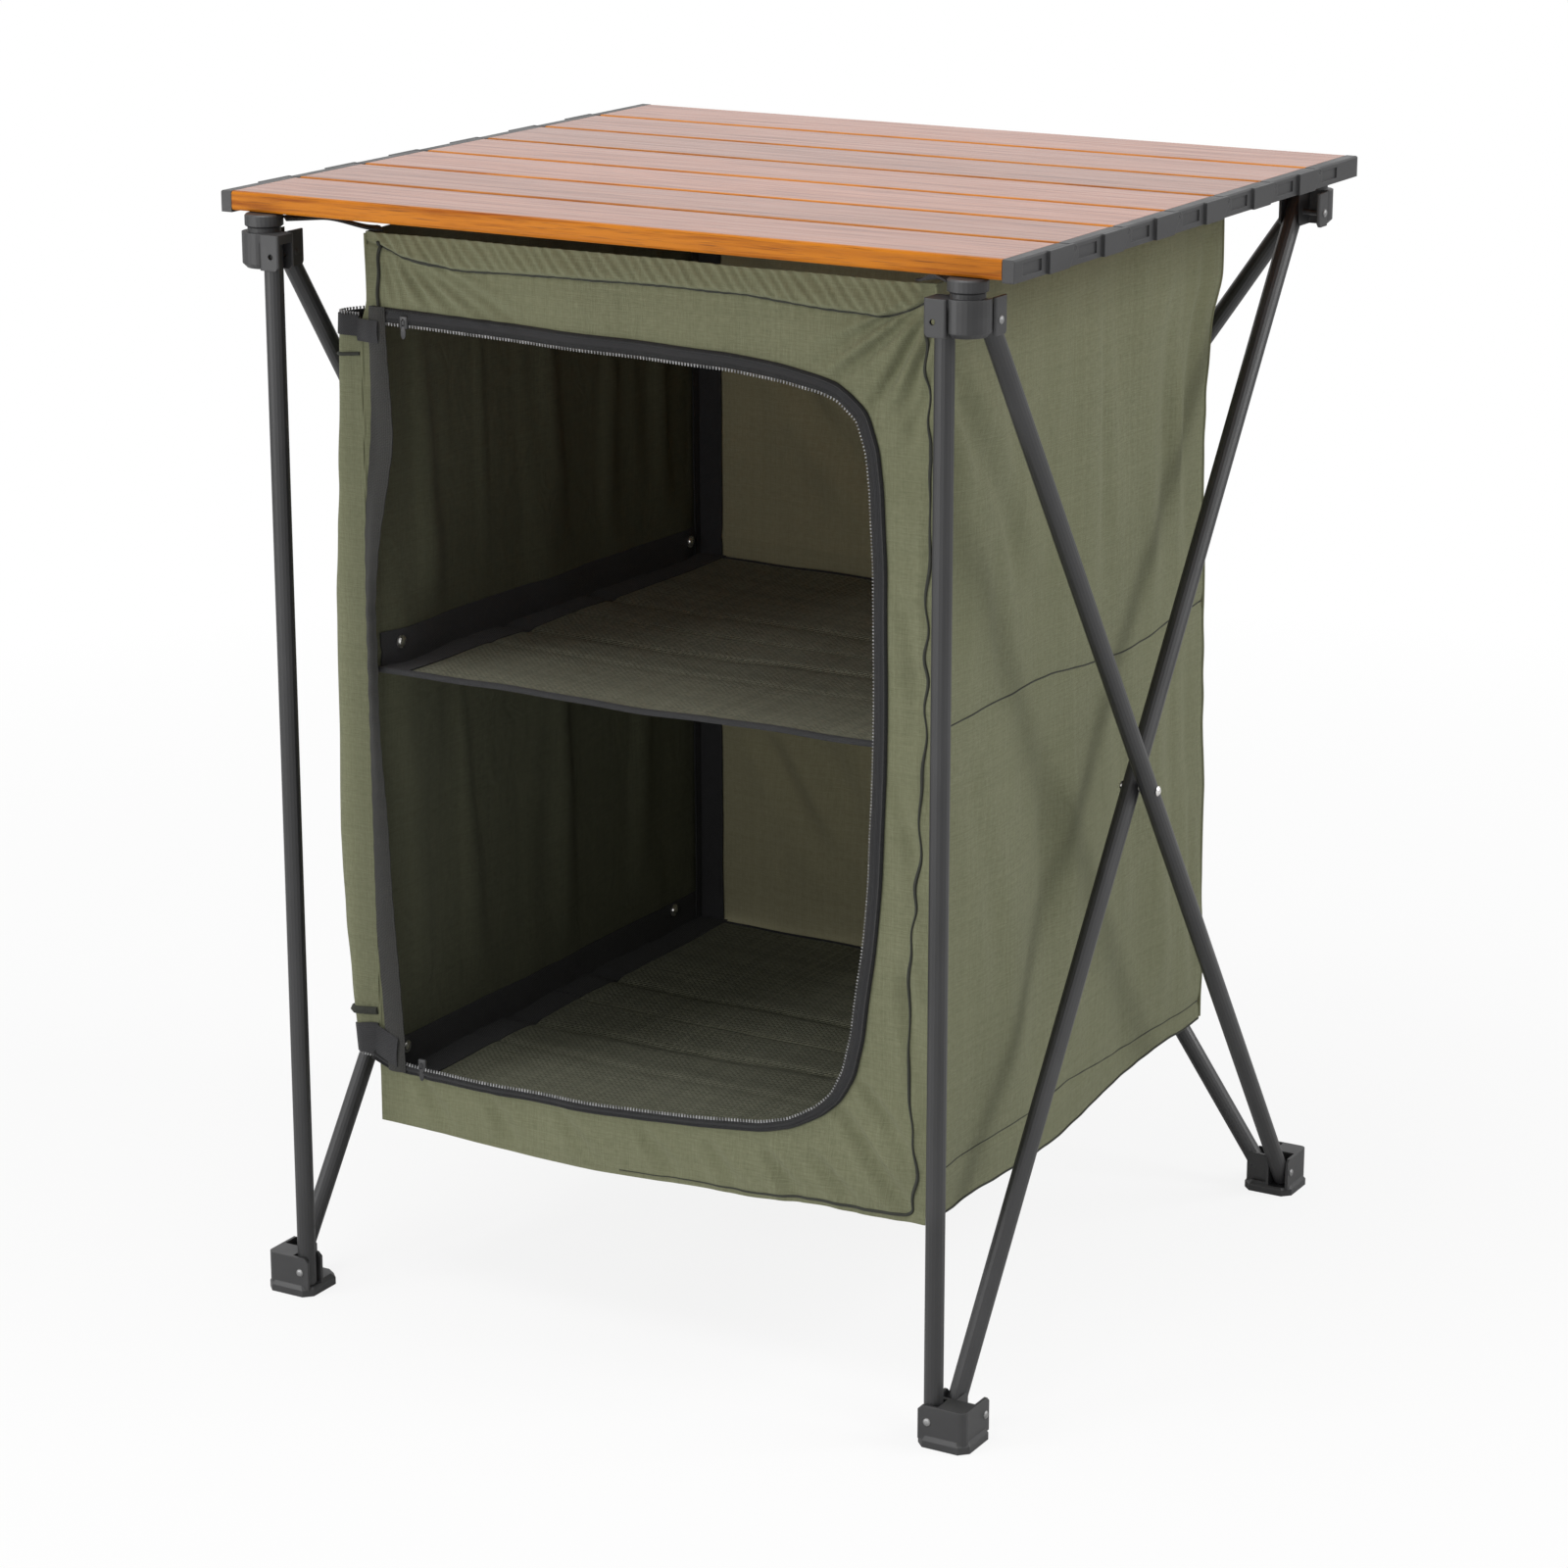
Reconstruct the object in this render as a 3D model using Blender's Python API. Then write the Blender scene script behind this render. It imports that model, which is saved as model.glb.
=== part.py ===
"""Folding camping cupboard: a roll-up slatted top on a folding scissor frame, with a cloth body.

Metres, +Z up, the front faces -Y. The origin lies on the ground in the middle of the frame.
Run with: blender --background --python part.py
"""
import math

import bmesh
import bpy
from mathutils import Matrix, Vector

# Running and seating clearances
SEAT_GAP = 0.0003
CLOTH_GAP = 0.0004

# Table top: slats that run left to right, joined by links at their ends
TOP_WIDTH = 0.600
TOP_HEIGHT = 0.785
SLAT_COUNT = 7
SLAT_DEPTH = 0.0743
SLAT_SEAM = 0.0026
SLAT_THICKNESS = 0.013
SLAT_ROUND = 0.0018
CAP_THICKNESS = 0.0083
CAP_DROP = 0.0014
CAP_CHAMFER = 0.0010
CAP_RECESS_DEPTH = 0.0012
CAP_RECESS_HEIGHT = 0.0075
CAP_RECESS_LENGTH = 0.026
CAP_RECESS_SETBACK = 0.011
LUG_THICKNESS = 0.0022
LUG_LENGTH = 0.030
LINK_PIN_RADIUS = 0.0012
LINK_PIN_DROP = 0.0030
LINK_PIN_SETBACK = 0.0019

# Scissor frame: a square of four hubs over four feet
FRAME_SPACING = 0.530
TUBE_RADIUS = 0.0065
TUBE_WALL = 0.0010
BAR_SPACING_GAP = 0.0008
BAR_END = 0.0085
PIN_INSET = 0.0135
PIN_RADIUS = 0.0020
PIN_HEAD_RADIUS = 0.0036
PIN_HEAD_HEIGHT = 0.0014
PIN_TAIL = 0.0004
CHEEK = 0.0022
ARM_CHAMFER = 0.0030
ARM_ROUND = 0.0015

# Hubs
HUB_REACH = 0.0225
HUB_EAR_START = 0.0068
HUB_CORE_RADIUS = 0.0152
HUB_CORE_TAPER = 0.0030
HUB_ARM_HEIGHT = 0.024
HUB_PIN_RISE = 0.0095
COLLAR_HEIGHT = 0.012
COLLAR_RADIUS = 0.0130
COLLAR_CHAMFER = 0.0012
COLLAR_NECK = 0.0030
COLLAR_NECK_RADIUS = 0.0112
SPARE_HOLE_INSET = 0.0160
POST_CAP = 0.006

# Feet
FOOT_REACH = 0.0190
FOOT_HEIGHT = 0.029
FOOT_PIN_HEIGHT = 0.0177
FOOT_CORNER = 0.0045
SOLE_HEIGHT = 0.0085
SOLE_EDGE = 0.0050
SOLE_FLARE = 0.0018
SOLE_CORNER = 0.0060
SLOT_FLOOR = 0.0066

# Front posts: a tube on the foot, a rod on the hub
POST_INSET = 0.0120
POST_BASE = 0.0072
ROD_RADIUS = 0.0051
ROD_LENGTH = 0.350
ROD_SOCKET = 0.003

# Cloth body
BODY_CLEARANCE = 0.0456
WALL_DROP = 0.016
WALL_HEIGHT = 0.629
SHELF_DROP = 0.301
FLOOR_RISE = 0.025
CLOTH = 0.0016
BOARD = 0.0024
FOLD_DEPTH = 0.0040
SHELF_SAG = 0.0060
FLOOR_SAG = 0.0030
CREASE_GAP = 0.0008
SEAM_REACH = 0.030

# Door opening and door
DOOR_LEFT_STILE = 0.0194
DOOR_RIGHT_STILE = 0.0364
DOOR_HEADER = 0.056
DOOR_SILL = 0.042
DOOR_ROUND = 0.078
DOOR_CORNER = 0.012
TAPE_WIDTH = 0.012
TAPE_THICKNESS = 0.0010
DOOR_CLOTH = 0.0040
DOOR_STANDOFF = 0.0110
DOOR_TURN = 0.045
DOOR_FOLD = 0.0048
SLIDER_WIDTH = 0.010
SLIDER_HEIGHT = 0.008
SLIDER_DEPTH = 0.0030
PULL_LENGTH = 0.022
PULL_WIDTH = 0.004
PULL_THICKNESS = 0.0010

# Straps between the cloth corners and the hubs
STRAP_WIDTH = 0.020
STRAP_THICKNESS = 0.0016
STRAP_LAP = 0.010

# Facet counts
TUBE_SIDES = 18
PIN_SIDES = 10
COLLAR_SIDES = 28
RING_SAMPLES = 56
WALL_COLUMNS = 20
WALL_ROWS = 12

# Sizes worked out from those above
SLAT_PITCH = SLAT_DEPTH + SLAT_SEAM
TOP_DEPTH = SLAT_COUNT * SLAT_PITCH - SLAT_SEAM
CAP_FACE = TOP_WIDTH / 2 - LUG_THICKNESS
SLAT_UNDERSIDE = TOP_HEIGHT - SLAT_THICKNESS
CORNER = FRAME_SPACING / 2
BAR_OFFSET = TUBE_RADIUS + BAR_SPACING_GAP / 2
WALL_TOP = SLAT_UNDERSIDE - WALL_DROP
WALL_BOTTOM = WALL_TOP - WALL_HEIGHT
SHELF_LEVEL = WALL_TOP - SHELF_DROP
FLOOR_LEVEL = WALL_BOTTOM + FLOOR_RISE
BODY_WIDTH = FRAME_SPACING - 2 * BODY_CLEARANCE
BODY_DEPTH = FRAME_SPACING - 2 * BODY_CLEARANCE
DOOR_LEFT = -BODY_WIDTH / 2 + DOOR_LEFT_STILE
DOOR_RIGHT = BODY_WIDTH / 2 - DOOR_RIGHT_STILE
DOOR_TOP = WALL_TOP - DOOR_HEADER
DOOR_BOTTOM = WALL_BOTTOM + DOOR_SILL
SLOT_HALF = TUBE_RADIUS + SEAT_GAP
ARM_HALF = SLOT_HALF + CHEEK
PIN_HOLE = PIN_RADIUS + SEAT_GAP
END_SWEEP = math.hypot(BAR_END, TUBE_RADIUS) + SEAT_GAP / 2
ARM_OUTSIDE = BAR_OFFSET + ARM_HALF
COLLAR_TOP = SLAT_UNDERSIDE - SEAT_GAP
CAP_UNDERSIDE = SLAT_UNDERSIDE - CAP_DROP
ARM_TOP = COLLAR_TOP - COLLAR_HEIGHT
ARM_BOTTOM = ARM_TOP - HUB_ARM_HEIGHT
HUB_PIN_HEIGHT = ARM_BOTTOM + HUB_PIN_RISE
CROSSING_HEIGHT = (HUB_PIN_HEIGHT + FOOT_PIN_HEIGHT) / 2
PIN_LINE = CORNER - PIN_INSET
POST_TOP = ARM_TOP - POST_CAP - SEAT_GAP
WALL_INNER = BODY_WIDTH / 2 - CLOTH
BOARD_HALF = WALL_INNER - CLOTH_GAP
BOARD_BACK = BODY_DEPTH / 2 - CLOTH - CLOTH_GAP
FRONT_FACE = -BODY_DEPTH / 2
DOOR_AXIS_X = -BODY_WIDTH / 2 - CLOTH_GAP - DOOR_CLOTH / 2
DOOR_AXIS_Y = FRONT_FACE - SEAT_GAP
DOOR_WIDTH = DOOR_RIGHT - DOOR_AXIS_X

# The three sides that have a scissor, by their outward direction
SIDES = {"right": (1, 0, 0), "back": (0, 1, 0), "left": (-1, 0, 0)}
# The four corners: outboard direction in X and in Y
CORNERS = {
    "front_right": (1, -1),
    "front_left": (-1, -1),
    "back_right": (1, 1),
    "back_left": (-1, 1),
}
OUTER, INNER = BAR_OFFSET, -BAR_OFFSET
# Offset of the arm that runs along Y, then of the arm that runs along X
HUB_ARMS = {
    "front_right": (OUTER, OUTER),
    "front_left": (INNER, OUTER),
    "back_right": (INNER, OUTER),
    "back_left": (OUTER, INNER),
}
FOOT_ARMS = {
    "front_right": (INNER, OUTER),
    "front_left": (OUTER, OUTER),
    "back_right": (OUTER, INNER),
    "back_left": (INNER, OUTER),
}


def clear_scene():
    for obj in list(bpy.data.objects):
        bpy.data.objects.remove(obj, do_unlink=True)


def make_material(name, colour, roughness, metallic=0.0):
    mat = bpy.data.materials.new(name)
    mat.use_nodes = True
    shader = mat.node_tree.nodes["Principled BSDF"]
    shader.inputs["Base Color"].default_value = (*colour, 1.0)
    shader.inputs["Roughness"].default_value = roughness
    shader.inputs["Metallic"].default_value = metallic
    return mat


def add_object(name, bm, mat, smooth_angle=35.0):
    """Turn a closed bmesh into an object with faces pointing out."""
    bmesh.ops.recalc_face_normals(bm, faces=bm.faces)
    mesh = bpy.data.meshes.new(name)
    bm.to_mesh(mesh)
    bm.free()
    mesh.shade_smooth()
    mesh.set_sharp_from_angle(angle=math.radians(smooth_angle))
    obj = bpy.data.objects.new(name, mesh)
    bpy.context.scene.collection.objects.link(obj)
    mesh.materials.append(mat)
    return obj


def combine(obj, bm, operation):
    """Cut a closed bmesh out of an object, or unite the two."""
    bmesh.ops.recalc_face_normals(bm, faces=bm.faces)
    mesh = bpy.data.meshes.new("tool")
    bm.to_mesh(mesh)
    bm.free()
    tool = bpy.data.objects.new("tool", mesh)
    tool.hide_render = True
    tool.display_type = "WIRE"
    bpy.context.scene.collection.objects.link(tool)
    modifier = obj.modifiers.new("combine", "BOOLEAN")
    modifier.object = tool
    modifier.operation = operation
    modifier.solver = "EXACT"
    graph = bpy.context.evaluated_depsgraph_get()
    made = bpy.data.meshes.new_from_object(obj.evaluated_get(graph))
    obj.modifiers.clear()
    obj.data = made
    bpy.data.objects.remove(tool, do_unlink=True)


def block(low, high):
    """A box between two corners, given in any order."""
    bm = bmesh.new()
    bmesh.ops.create_cube(bm, size=1.0)
    size = [abs(b - a) for a, b in zip(low, high)]
    middle = [(a + b) / 2 for a, b in zip(low, high)]
    bmesh.ops.scale(bm, vec=size, verts=bm.verts)
    bmesh.ops.translate(bm, vec=middle, verts=bm.verts)
    return bm


def turned(profile, base, axis, sides, closed=False):
    """Turn a profile of (radius, distance along the axis) points into a solid or a tube."""
    bm = bmesh.new()
    place = Matrix.Translation(base) @ Vector(axis).to_track_quat("Z", "Y").to_matrix().to_4x4()
    rings = []
    for radius, along in profile:
        steps = sides if radius > 0 else 1
        ring = []
        for k in range(steps):
            turn = 2 * math.pi * k / sides
            point = Vector((radius * math.cos(turn), radius * math.sin(turn), along))
            ring.append(bm.verts.new(place @ point))
        rings.append(ring)
    pairs = list(zip(rings, rings[1:]))
    if closed:
        pairs.append((rings[-1], rings[0]))
    for lower, upper in pairs:
        for k in range(sides):
            nxt = (k + 1) % sides
            if len(lower) == 1:
                bm.faces.new((lower[0], upper[nxt], upper[k]))
            elif len(upper) == 1:
                bm.faces.new((lower[k], lower[nxt], upper[0]))
            else:
                bm.faces.new((lower[k], lower[nxt], upper[nxt], upper[k]))
    return bm


def rod(start, end, radius, sides):
    """A plain round bar between two points."""
    start, end = Vector(start), Vector(end)
    length = (end - start).length
    profile = [(0, 0), (radius, 0), (radius, length), (0, length)]
    return turned(profile, start, end - start, sides)


def pipe(start, end, radius, wall, sides):
    """A tube with open ends between two points."""
    start, end = Vector(start), Vector(end)
    length = (end - start).length
    inner = radius - wall
    profile = [(radius, 0), (radius, length), (inner, length), (inner, 0)]
    return turned(profile, start, end - start, sides, closed=True)


def prism(points, along, low, high):
    """Extrude an outline, given in the two axes that aren't the one named, from low to high."""
    bm = bmesh.new()
    axes = [k for k in range(3) if k != along]
    ends = []
    for level in (low, high):
        ring = []
        for a, b in points:
            place = [0.0, 0.0, 0.0]
            place[axes[0]], place[axes[1]], place[along] = a, b, level
            ring.append(bm.verts.new(place))
        ends.append(ring)
    for ring in ends:
        bm.faces.new(ring)
    count = len(points)
    for k in range(count):
        nxt = (k + 1) % count
        bm.faces.new((ends[0][k], ends[0][nxt], ends[1][nxt], ends[1][k]))
    return bm


def corner_point(corner, out_x, out_y):
    """Plan position of a point given by its distance outboard of the corner's centre."""
    sign_x, sign_y = CORNERS[corner]
    return sign_x * (CORNER + out_x), sign_y * (CORNER + out_y)


def corner_block(corner, low_x, high_x, low_y, high_y, low_z, high_z):
    """A box in a corner, with X and Y counted outboard from the corner's centre."""
    low = (*corner_point(corner, low_x, low_y), low_z)
    high = (*corner_point(corner, high_x, high_y), high_z)
    return block(low, high)


def arm_limits(offset):
    """Outboard limits of an arm: its slot's inner cheek and the common outer face."""
    return offset - ARM_HALF, ARM_OUTSIDE


def arm_chamfer(corner, along, reach, tip, slope):
    """Wedge that takes the edge off an arm's free end; slope is +1 above and -1 below."""
    over = 0.001
    profile = [
        (-reach - over, tip + slope * over),
        (-reach + ARM_CHAMFER + over, tip + slope * over),
        (-reach - over, tip - slope * (ARM_CHAMFER + over)),
    ]
    sign = CORNERS[corner][along]
    side_sign = CORNERS[corner][1 - along]
    points = [(sign * (CORNER + a), b) for a, b in profile]
    edges = [side_sign * (CORNER + e * (ARM_OUTSIDE + over)) for e in (-1, 1)]
    return prism(points, 1 - along, min(edges), max(edges))


def arm_slot(corner, side, along, reach, inset, low, high):
    """Slot for a bar or a post in the arm that runs along X (0) or Y (1)."""
    open_end = -reach - 0.001
    if along == 0:
        return corner_block(corner, open_end, inset, side - SLOT_HALF, side + SLOT_HALF, low, high)
    return corner_block(corner, side - SLOT_HALF, side + SLOT_HALF, open_end, inset, low, high)


def arm_rivet(corner, side, along, height, inset=PIN_INSET):
    """Rivet through an arm's cheeks, its domed head outboard and its closed end inboard."""
    outside, inside = ARM_OUTSIDE, side - ARM_HALF
    if along == 0:
        start, end = corner_point(corner, -inset, outside), corner_point(corner, -inset, inside)
    else:
        start, end = corner_point(corner, outside, -inset), corner_point(corner, inside, -inset)
    start, end = Vector((*start, height)), Vector((*end, height))
    length = (end - start).length
    profile = [
        (0, -PIN_HEAD_HEIGHT),
        (PIN_HEAD_RADIUS * 0.55, -PIN_HEAD_HEIGHT * 0.88),
        (PIN_HEAD_RADIUS, CHEEK / 4),
        (PIN_RADIUS, CHEEK / 4),
        (PIN_RADIUS, length + PIN_TAIL),
        (0, length + PIN_TAIL),
    ]
    return turned(profile, start, end - start, PIN_SIDES)


def cut_arms(body, corner, offsets, reach, pin_height, low, high, post_high):
    """Cut the bar slots of both arms and put in the rivets that the bars turn on."""
    has_post = corner.startswith("front")
    for along in (0, 1):
        side = offsets[1 - along]
        if along == 0 and has_post:
            inset = -POST_INSET + SLOT_HALF
            slot = arm_slot(corner, side, along, reach, inset, low, post_high)
            combine(body, slot, "DIFFERENCE")
            continue
        inset = -PIN_INSET + END_SWEEP
        for place in sorted({side, OUTER}):
            slot = arm_slot(corner, place, along, reach, inset, low, high)
            combine(body, slot, "DIFFERENCE")
        combine(body, arm_rivet(corner, side, along, pin_height), "UNION")


def bevel_uprights(bm, width):
    """Round the upright edges of a prism a little."""
    uprights = [e for e in bm.edges if abs(e.verts[0].co.z - e.verts[1].co.z) > width]
    bmesh.ops.bevel(bm, geom=uprights, offset=width, segments=2, profile=0.5, affect="EDGES")


def make_hub(corner, mat):
    """Moulded hub: a round core with two forked ears, under a collar that carries the top."""
    offsets = HUB_ARMS[corner]
    centre = (*corner_point(corner, 0, 0), 0)
    core = [
        (0, ARM_BOTTOM),
        (HUB_CORE_RADIUS - HUB_CORE_TAPER, ARM_BOTTOM),
        (HUB_CORE_RADIUS, ARM_BOTTOM + HUB_CORE_TAPER),
        (HUB_CORE_RADIUS, ARM_TOP),
        (COLLAR_NECK_RADIUS, ARM_TOP),
        (COLLAR_NECK_RADIUS, ARM_TOP + COLLAR_NECK),
        (COLLAR_RADIUS, ARM_TOP + COLLAR_NECK + COLLAR_CHAMFER),
        (COLLAR_RADIUS, COLLAR_TOP - COLLAR_CHAMFER),
        (COLLAR_RADIUS - COLLAR_CHAMFER, COLLAR_TOP),
        (0, COLLAR_TOP),
    ]
    hub = add_object("hub_" + corner, turned(core, centre, (0, 0, 1), COLLAR_SIDES), mat)
    for along in (0, 1):
        low, high = arm_limits(offsets[1 - along])
        ear = [-HUB_REACH, -HUB_EAR_START, low, high]
        if along == 1:
            ear = ear[2:] + ear[:2]
        bm = corner_block(corner, *ear, ARM_BOTTOM, ARM_TOP)
        bevel_uprights(bm, ARM_ROUND)
        combine(hub, bm, "UNION")
        combine(hub, arm_chamfer(corner, along, HUB_REACH, ARM_BOTTOM, -1), "DIFFERENCE")
    below, above = ARM_BOTTOM - 0.001, ARM_TOP + 0.0001
    roof = ARM_TOP - POST_CAP
    cut_arms(hub, corner, offsets, HUB_REACH, HUB_PIN_HEIGHT, below, above, roof)
    if corner.startswith("front"):
        cut_post_socket(hub, corner, offsets[1])
    return hub


def cut_post_socket(hub, corner, side):
    """Blind socket for the post's rod, and the spare rivet hole beside it."""
    x, y = corner_point(corner, -POST_INSET, side)
    roof = ARM_TOP - POST_CAP
    socket = rod((x, y, roof - 0.001), (x, y, roof + ROD_SOCKET), ROD_RADIUS + SEAT_GAP, TUBE_SIDES)
    combine(hub, socket, "DIFFERENCE")
    start = corner_point(corner, -SPARE_HOLE_INSET, ARM_OUTSIDE + 0.001)
    end = corner_point(corner, -SPARE_HOLE_INSET, side - ARM_HALF - 0.001)
    hole = rod((*start, HUB_PIN_HEIGHT), (*end, HUB_PIN_HEIGHT), PIN_RADIUS, PIN_SIDES)
    combine(hub, hole, "DIFFERENCE")


def foot_outline(corner, offsets):
    """Plan outline of a foot's two arms, an L with a rounded corner outboard."""
    low_x, low_y = offsets[0] - ARM_HALF, offsets[1] - ARM_HALF
    steps = 4
    rounded = []
    for k in range(steps + 1):
        turn = math.pi / 2 * (1 - k / steps)
        inset = FOOT_CORNER * (1 - math.cos(turn)), FOOT_CORNER * (1 - math.sin(turn))
        rounded.append((ARM_OUTSIDE - inset[0], ARM_OUTSIDE - inset[1]))
    outline = [
        (-FOOT_REACH, low_y),
        (-FOOT_REACH, ARM_OUTSIDE),
        *rounded,
        (ARM_OUTSIDE, -FOOT_REACH),
        (low_x, -FOOT_REACH),
        (low_x, low_y),
    ]
    return [corner_point(corner, x, y) for x, y in outline]


def sole_outline(corner, grow):
    """Plan of a foot's sole: a square with cut corners, grown beyond the arms above it."""
    low, high = -FOOT_REACH - grow, ARM_OUTSIDE + grow
    cut = SOLE_CORNER
    outline = [
        (low + cut, low),
        (high - cut, low),
        (high, low + cut),
        (high, high - cut),
        (high - cut, high),
        (low + cut, high),
        (low, high - cut),
        (low, low + cut),
    ]
    return [corner_point(corner, x, y) for x, y in outline]


def make_sole(corner):
    """Flared sole: upright at the ground, then drawn in to the arms."""
    bm = bmesh.new()
    rings = []
    for level, grow in ((0.0, SOLE_FLARE), (SOLE_EDGE, SOLE_FLARE), (SOLE_HEIGHT, -0.0004)):
        rings.append([bm.verts.new((x, y, level)) for x, y in sole_outline(corner, grow)])
    bm.faces.new(rings[0])
    bm.faces.new(rings[-1])
    count = len(rings[0])
    for lower, upper in zip(rings, rings[1:]):
        for k in range(count):
            nxt = (k + 1) % count
            bm.faces.new((lower[k], lower[nxt], upper[nxt], upper[k]))
    return bm


def make_foot(corner, mat):
    """Moulded foot: a flared sole with two forked arms for the bars or the post."""
    offsets = FOOT_ARMS[corner]
    foot = add_object("foot_" + corner, make_sole(corner), mat)
    body = prism(foot_outline(corner, offsets), 2, SOLE_EDGE, FOOT_HEIGHT)
    combine(foot, body, "UNION")
    for along in (0, 1):
        combine(foot, arm_chamfer(corner, along, FOOT_REACH, FOOT_HEIGHT, 1), "DIFFERENCE")
    above = FOOT_HEIGHT + 0.001
    cut_arms(foot, corner, offsets, FOOT_REACH, FOOT_PIN_HEIGHT, SLOT_FLOOR, above, above)
    if corner.startswith("front"):
        rivet = arm_rivet(corner, offsets[1], 0, FOOT_PIN_HEIGHT, POST_INSET)
        combine(foot, rivet, "UNION")
    return foot


def make_bar(name, foot, hub, mat):
    """Scissor bar: a tube pinned in a foot, in a hub and to its partner at the crossing."""
    foot, hub = Vector(foot), Vector(hub)
    direction = (hub - foot).normalized()
    bar = add_object(
        name,
        pipe(foot - direction * BAR_END, hub + direction * BAR_END, TUBE_RADIUS, TUBE_WALL, TUBE_SIDES),
        mat,
    )
    across = direction.cross(Vector((0, 0, 1))).normalized() * (TUBE_RADIUS + 0.001)
    for place in (foot, (foot + hub) / 2, hub):
        hole = rod(place - across, place + across, PIN_HOLE, PIN_SIDES)
        combine(bar, hole, "DIFFERENCE")
    return bar


def make_crossing_rivet(name, centre, outward, mat):
    """Rivet that joins two bars where they cross, with a domed head at each end."""
    reach = BAR_OFFSET + TUBE_RADIUS + SEAT_GAP
    head = PIN_HEAD_HEIGHT
    profile = [
        (0, -reach - head),
        (PIN_HEAD_RADIUS * 0.55, -reach - head * 0.88),
        (PIN_HEAD_RADIUS, -reach),
        (PIN_RADIUS, -reach),
        (PIN_RADIUS, reach),
        (PIN_HEAD_RADIUS, reach),
        (PIN_HEAD_RADIUS * 0.55, reach + head * 0.88),
        (0, reach + head),
    ]
    return add_object(name, turned(profile, centre, outward, PIN_SIDES), mat)


def scissor_point(side, layer, place):
    """World position of a bar's pin at its foot or its hub, or of its side's crossing."""
    outward = Vector(SIDES[side])
    along = Vector((0, 0, 1)).cross(outward)
    if place == "crossing":
        return outward * CORNER + Vector((0, 0, CROSSING_HEIGHT))
    offset = OUTER if layer == "outer" else INNER
    lean = 1 if (layer == "outer") == (place == "foot") else -1
    height = FOOT_PIN_HEIGHT if place == "foot" else HUB_PIN_HEIGHT
    return outward * (CORNER + offset) + along * PIN_LINE * lean + Vector((0, 0, height))


def make_scissor(side, mats):
    """The two bars of one side of the frame and the rivet at their crossing."""
    for layer in ("outer", "inner"):
        foot = scissor_point(side, layer, "foot")
        hub = scissor_point(side, layer, "hub")
        make_bar(f"{side}_bar_{layer}", foot, hub, mats["tube"])
    centre = scissor_point(side, "outer", "crossing")
    make_crossing_rivet(f"{side}_crossing_rivet", centre, Vector(SIDES[side]), mats["rivet"])


def make_post(corner, mats):
    """Front post: a tube riveted in the foot that slides over a rod fixed in the hub."""
    hand = corner.split("_")[1]
    x, y = corner_point(corner, -POST_INSET, BAR_OFFSET)
    tube = add_object(
        "post_tube_" + hand,
        pipe((x, y, POST_BASE), (x, y, POST_TOP), TUBE_RADIUS, TUBE_WALL, TUBE_SIDES),
        mats["tube"],
    )
    reach = Vector((0, TUBE_RADIUS + 0.001, 0))
    centre = Vector((x, y, FOOT_PIN_HEIGHT))
    combine(tube, rod(centre - reach, centre + reach, PIN_HOLE, PIN_SIDES), "DIFFERENCE")
    top = ARM_TOP - POST_CAP + ROD_SOCKET - SEAT_GAP
    bottom = (x, y, top - ROD_LENGTH)
    add_object("post_rod_" + hand, rod(bottom, (x, y, top), ROD_RADIUS, TUBE_SIDES), mats["rod"])


def slat_front(index):
    """Front edge of a slat; slat 1 is the front one."""
    return -TOP_DEPTH / 2 + (index - 1) * SLAT_PITCH


def link_axis(index):
    """Height and depth of the link pin between a slat and the next one behind it."""
    return slat_front(index + 1) + LINK_PIN_SETBACK, TOP_HEIGHT - LINK_PIN_DROP


def make_slat(index, mat):
    """Wooden slat with rounded long edges."""
    half = CAP_FACE - CAP_THICKNESS - SEAT_GAP
    front = slat_front(index)
    bm = block((-half, front, SLAT_UNDERSIDE), (half, front + SLAT_DEPTH, TOP_HEIGHT))
    long_edges = [e for e in bm.edges if abs(e.verts[0].co.x - e.verts[1].co.x) > half]
    bmesh.ops.bevel(bm, geom=long_edges, offset=SLAT_ROUND, segments=2, profile=0.5, affect="EDGES")
    return add_object(f"slat_{index}", bm, mat)


def lug_outline(index):
    """Side view of the link lug that reaches from a slat's cap to the next pin."""
    y, z = link_axis(index)
    start = slat_front(index) + SLAT_DEPTH - LUG_LENGTH
    radius = LINK_PIN_DROP
    steps = 6
    nose = []
    for k in range(steps + 1):
        turn = math.pi / 2 - math.pi * k / steps
        nose.append((y + radius * math.cos(turn), z + radius * math.sin(turn)))
    rear = slat_front(index) + SLAT_DEPTH - LINK_PIN_DROP
    return [(start, z + radius), *nose, (rear, CAP_UNDERSIDE), (start, CAP_UNDERSIDE)]


def cap_section():
    """Cross-section of an end cap, distance from the slat against height."""
    return [
        (0, CAP_UNDERSIDE),
        (CAP_THICKNESS, CAP_UNDERSIDE),
        (CAP_THICKNESS, TOP_HEIGHT - CAP_CHAMFER),
        (CAP_THICKNESS - CAP_CHAMFER, TOP_HEIGHT),
        (0, TOP_HEIGHT),
    ]


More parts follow.
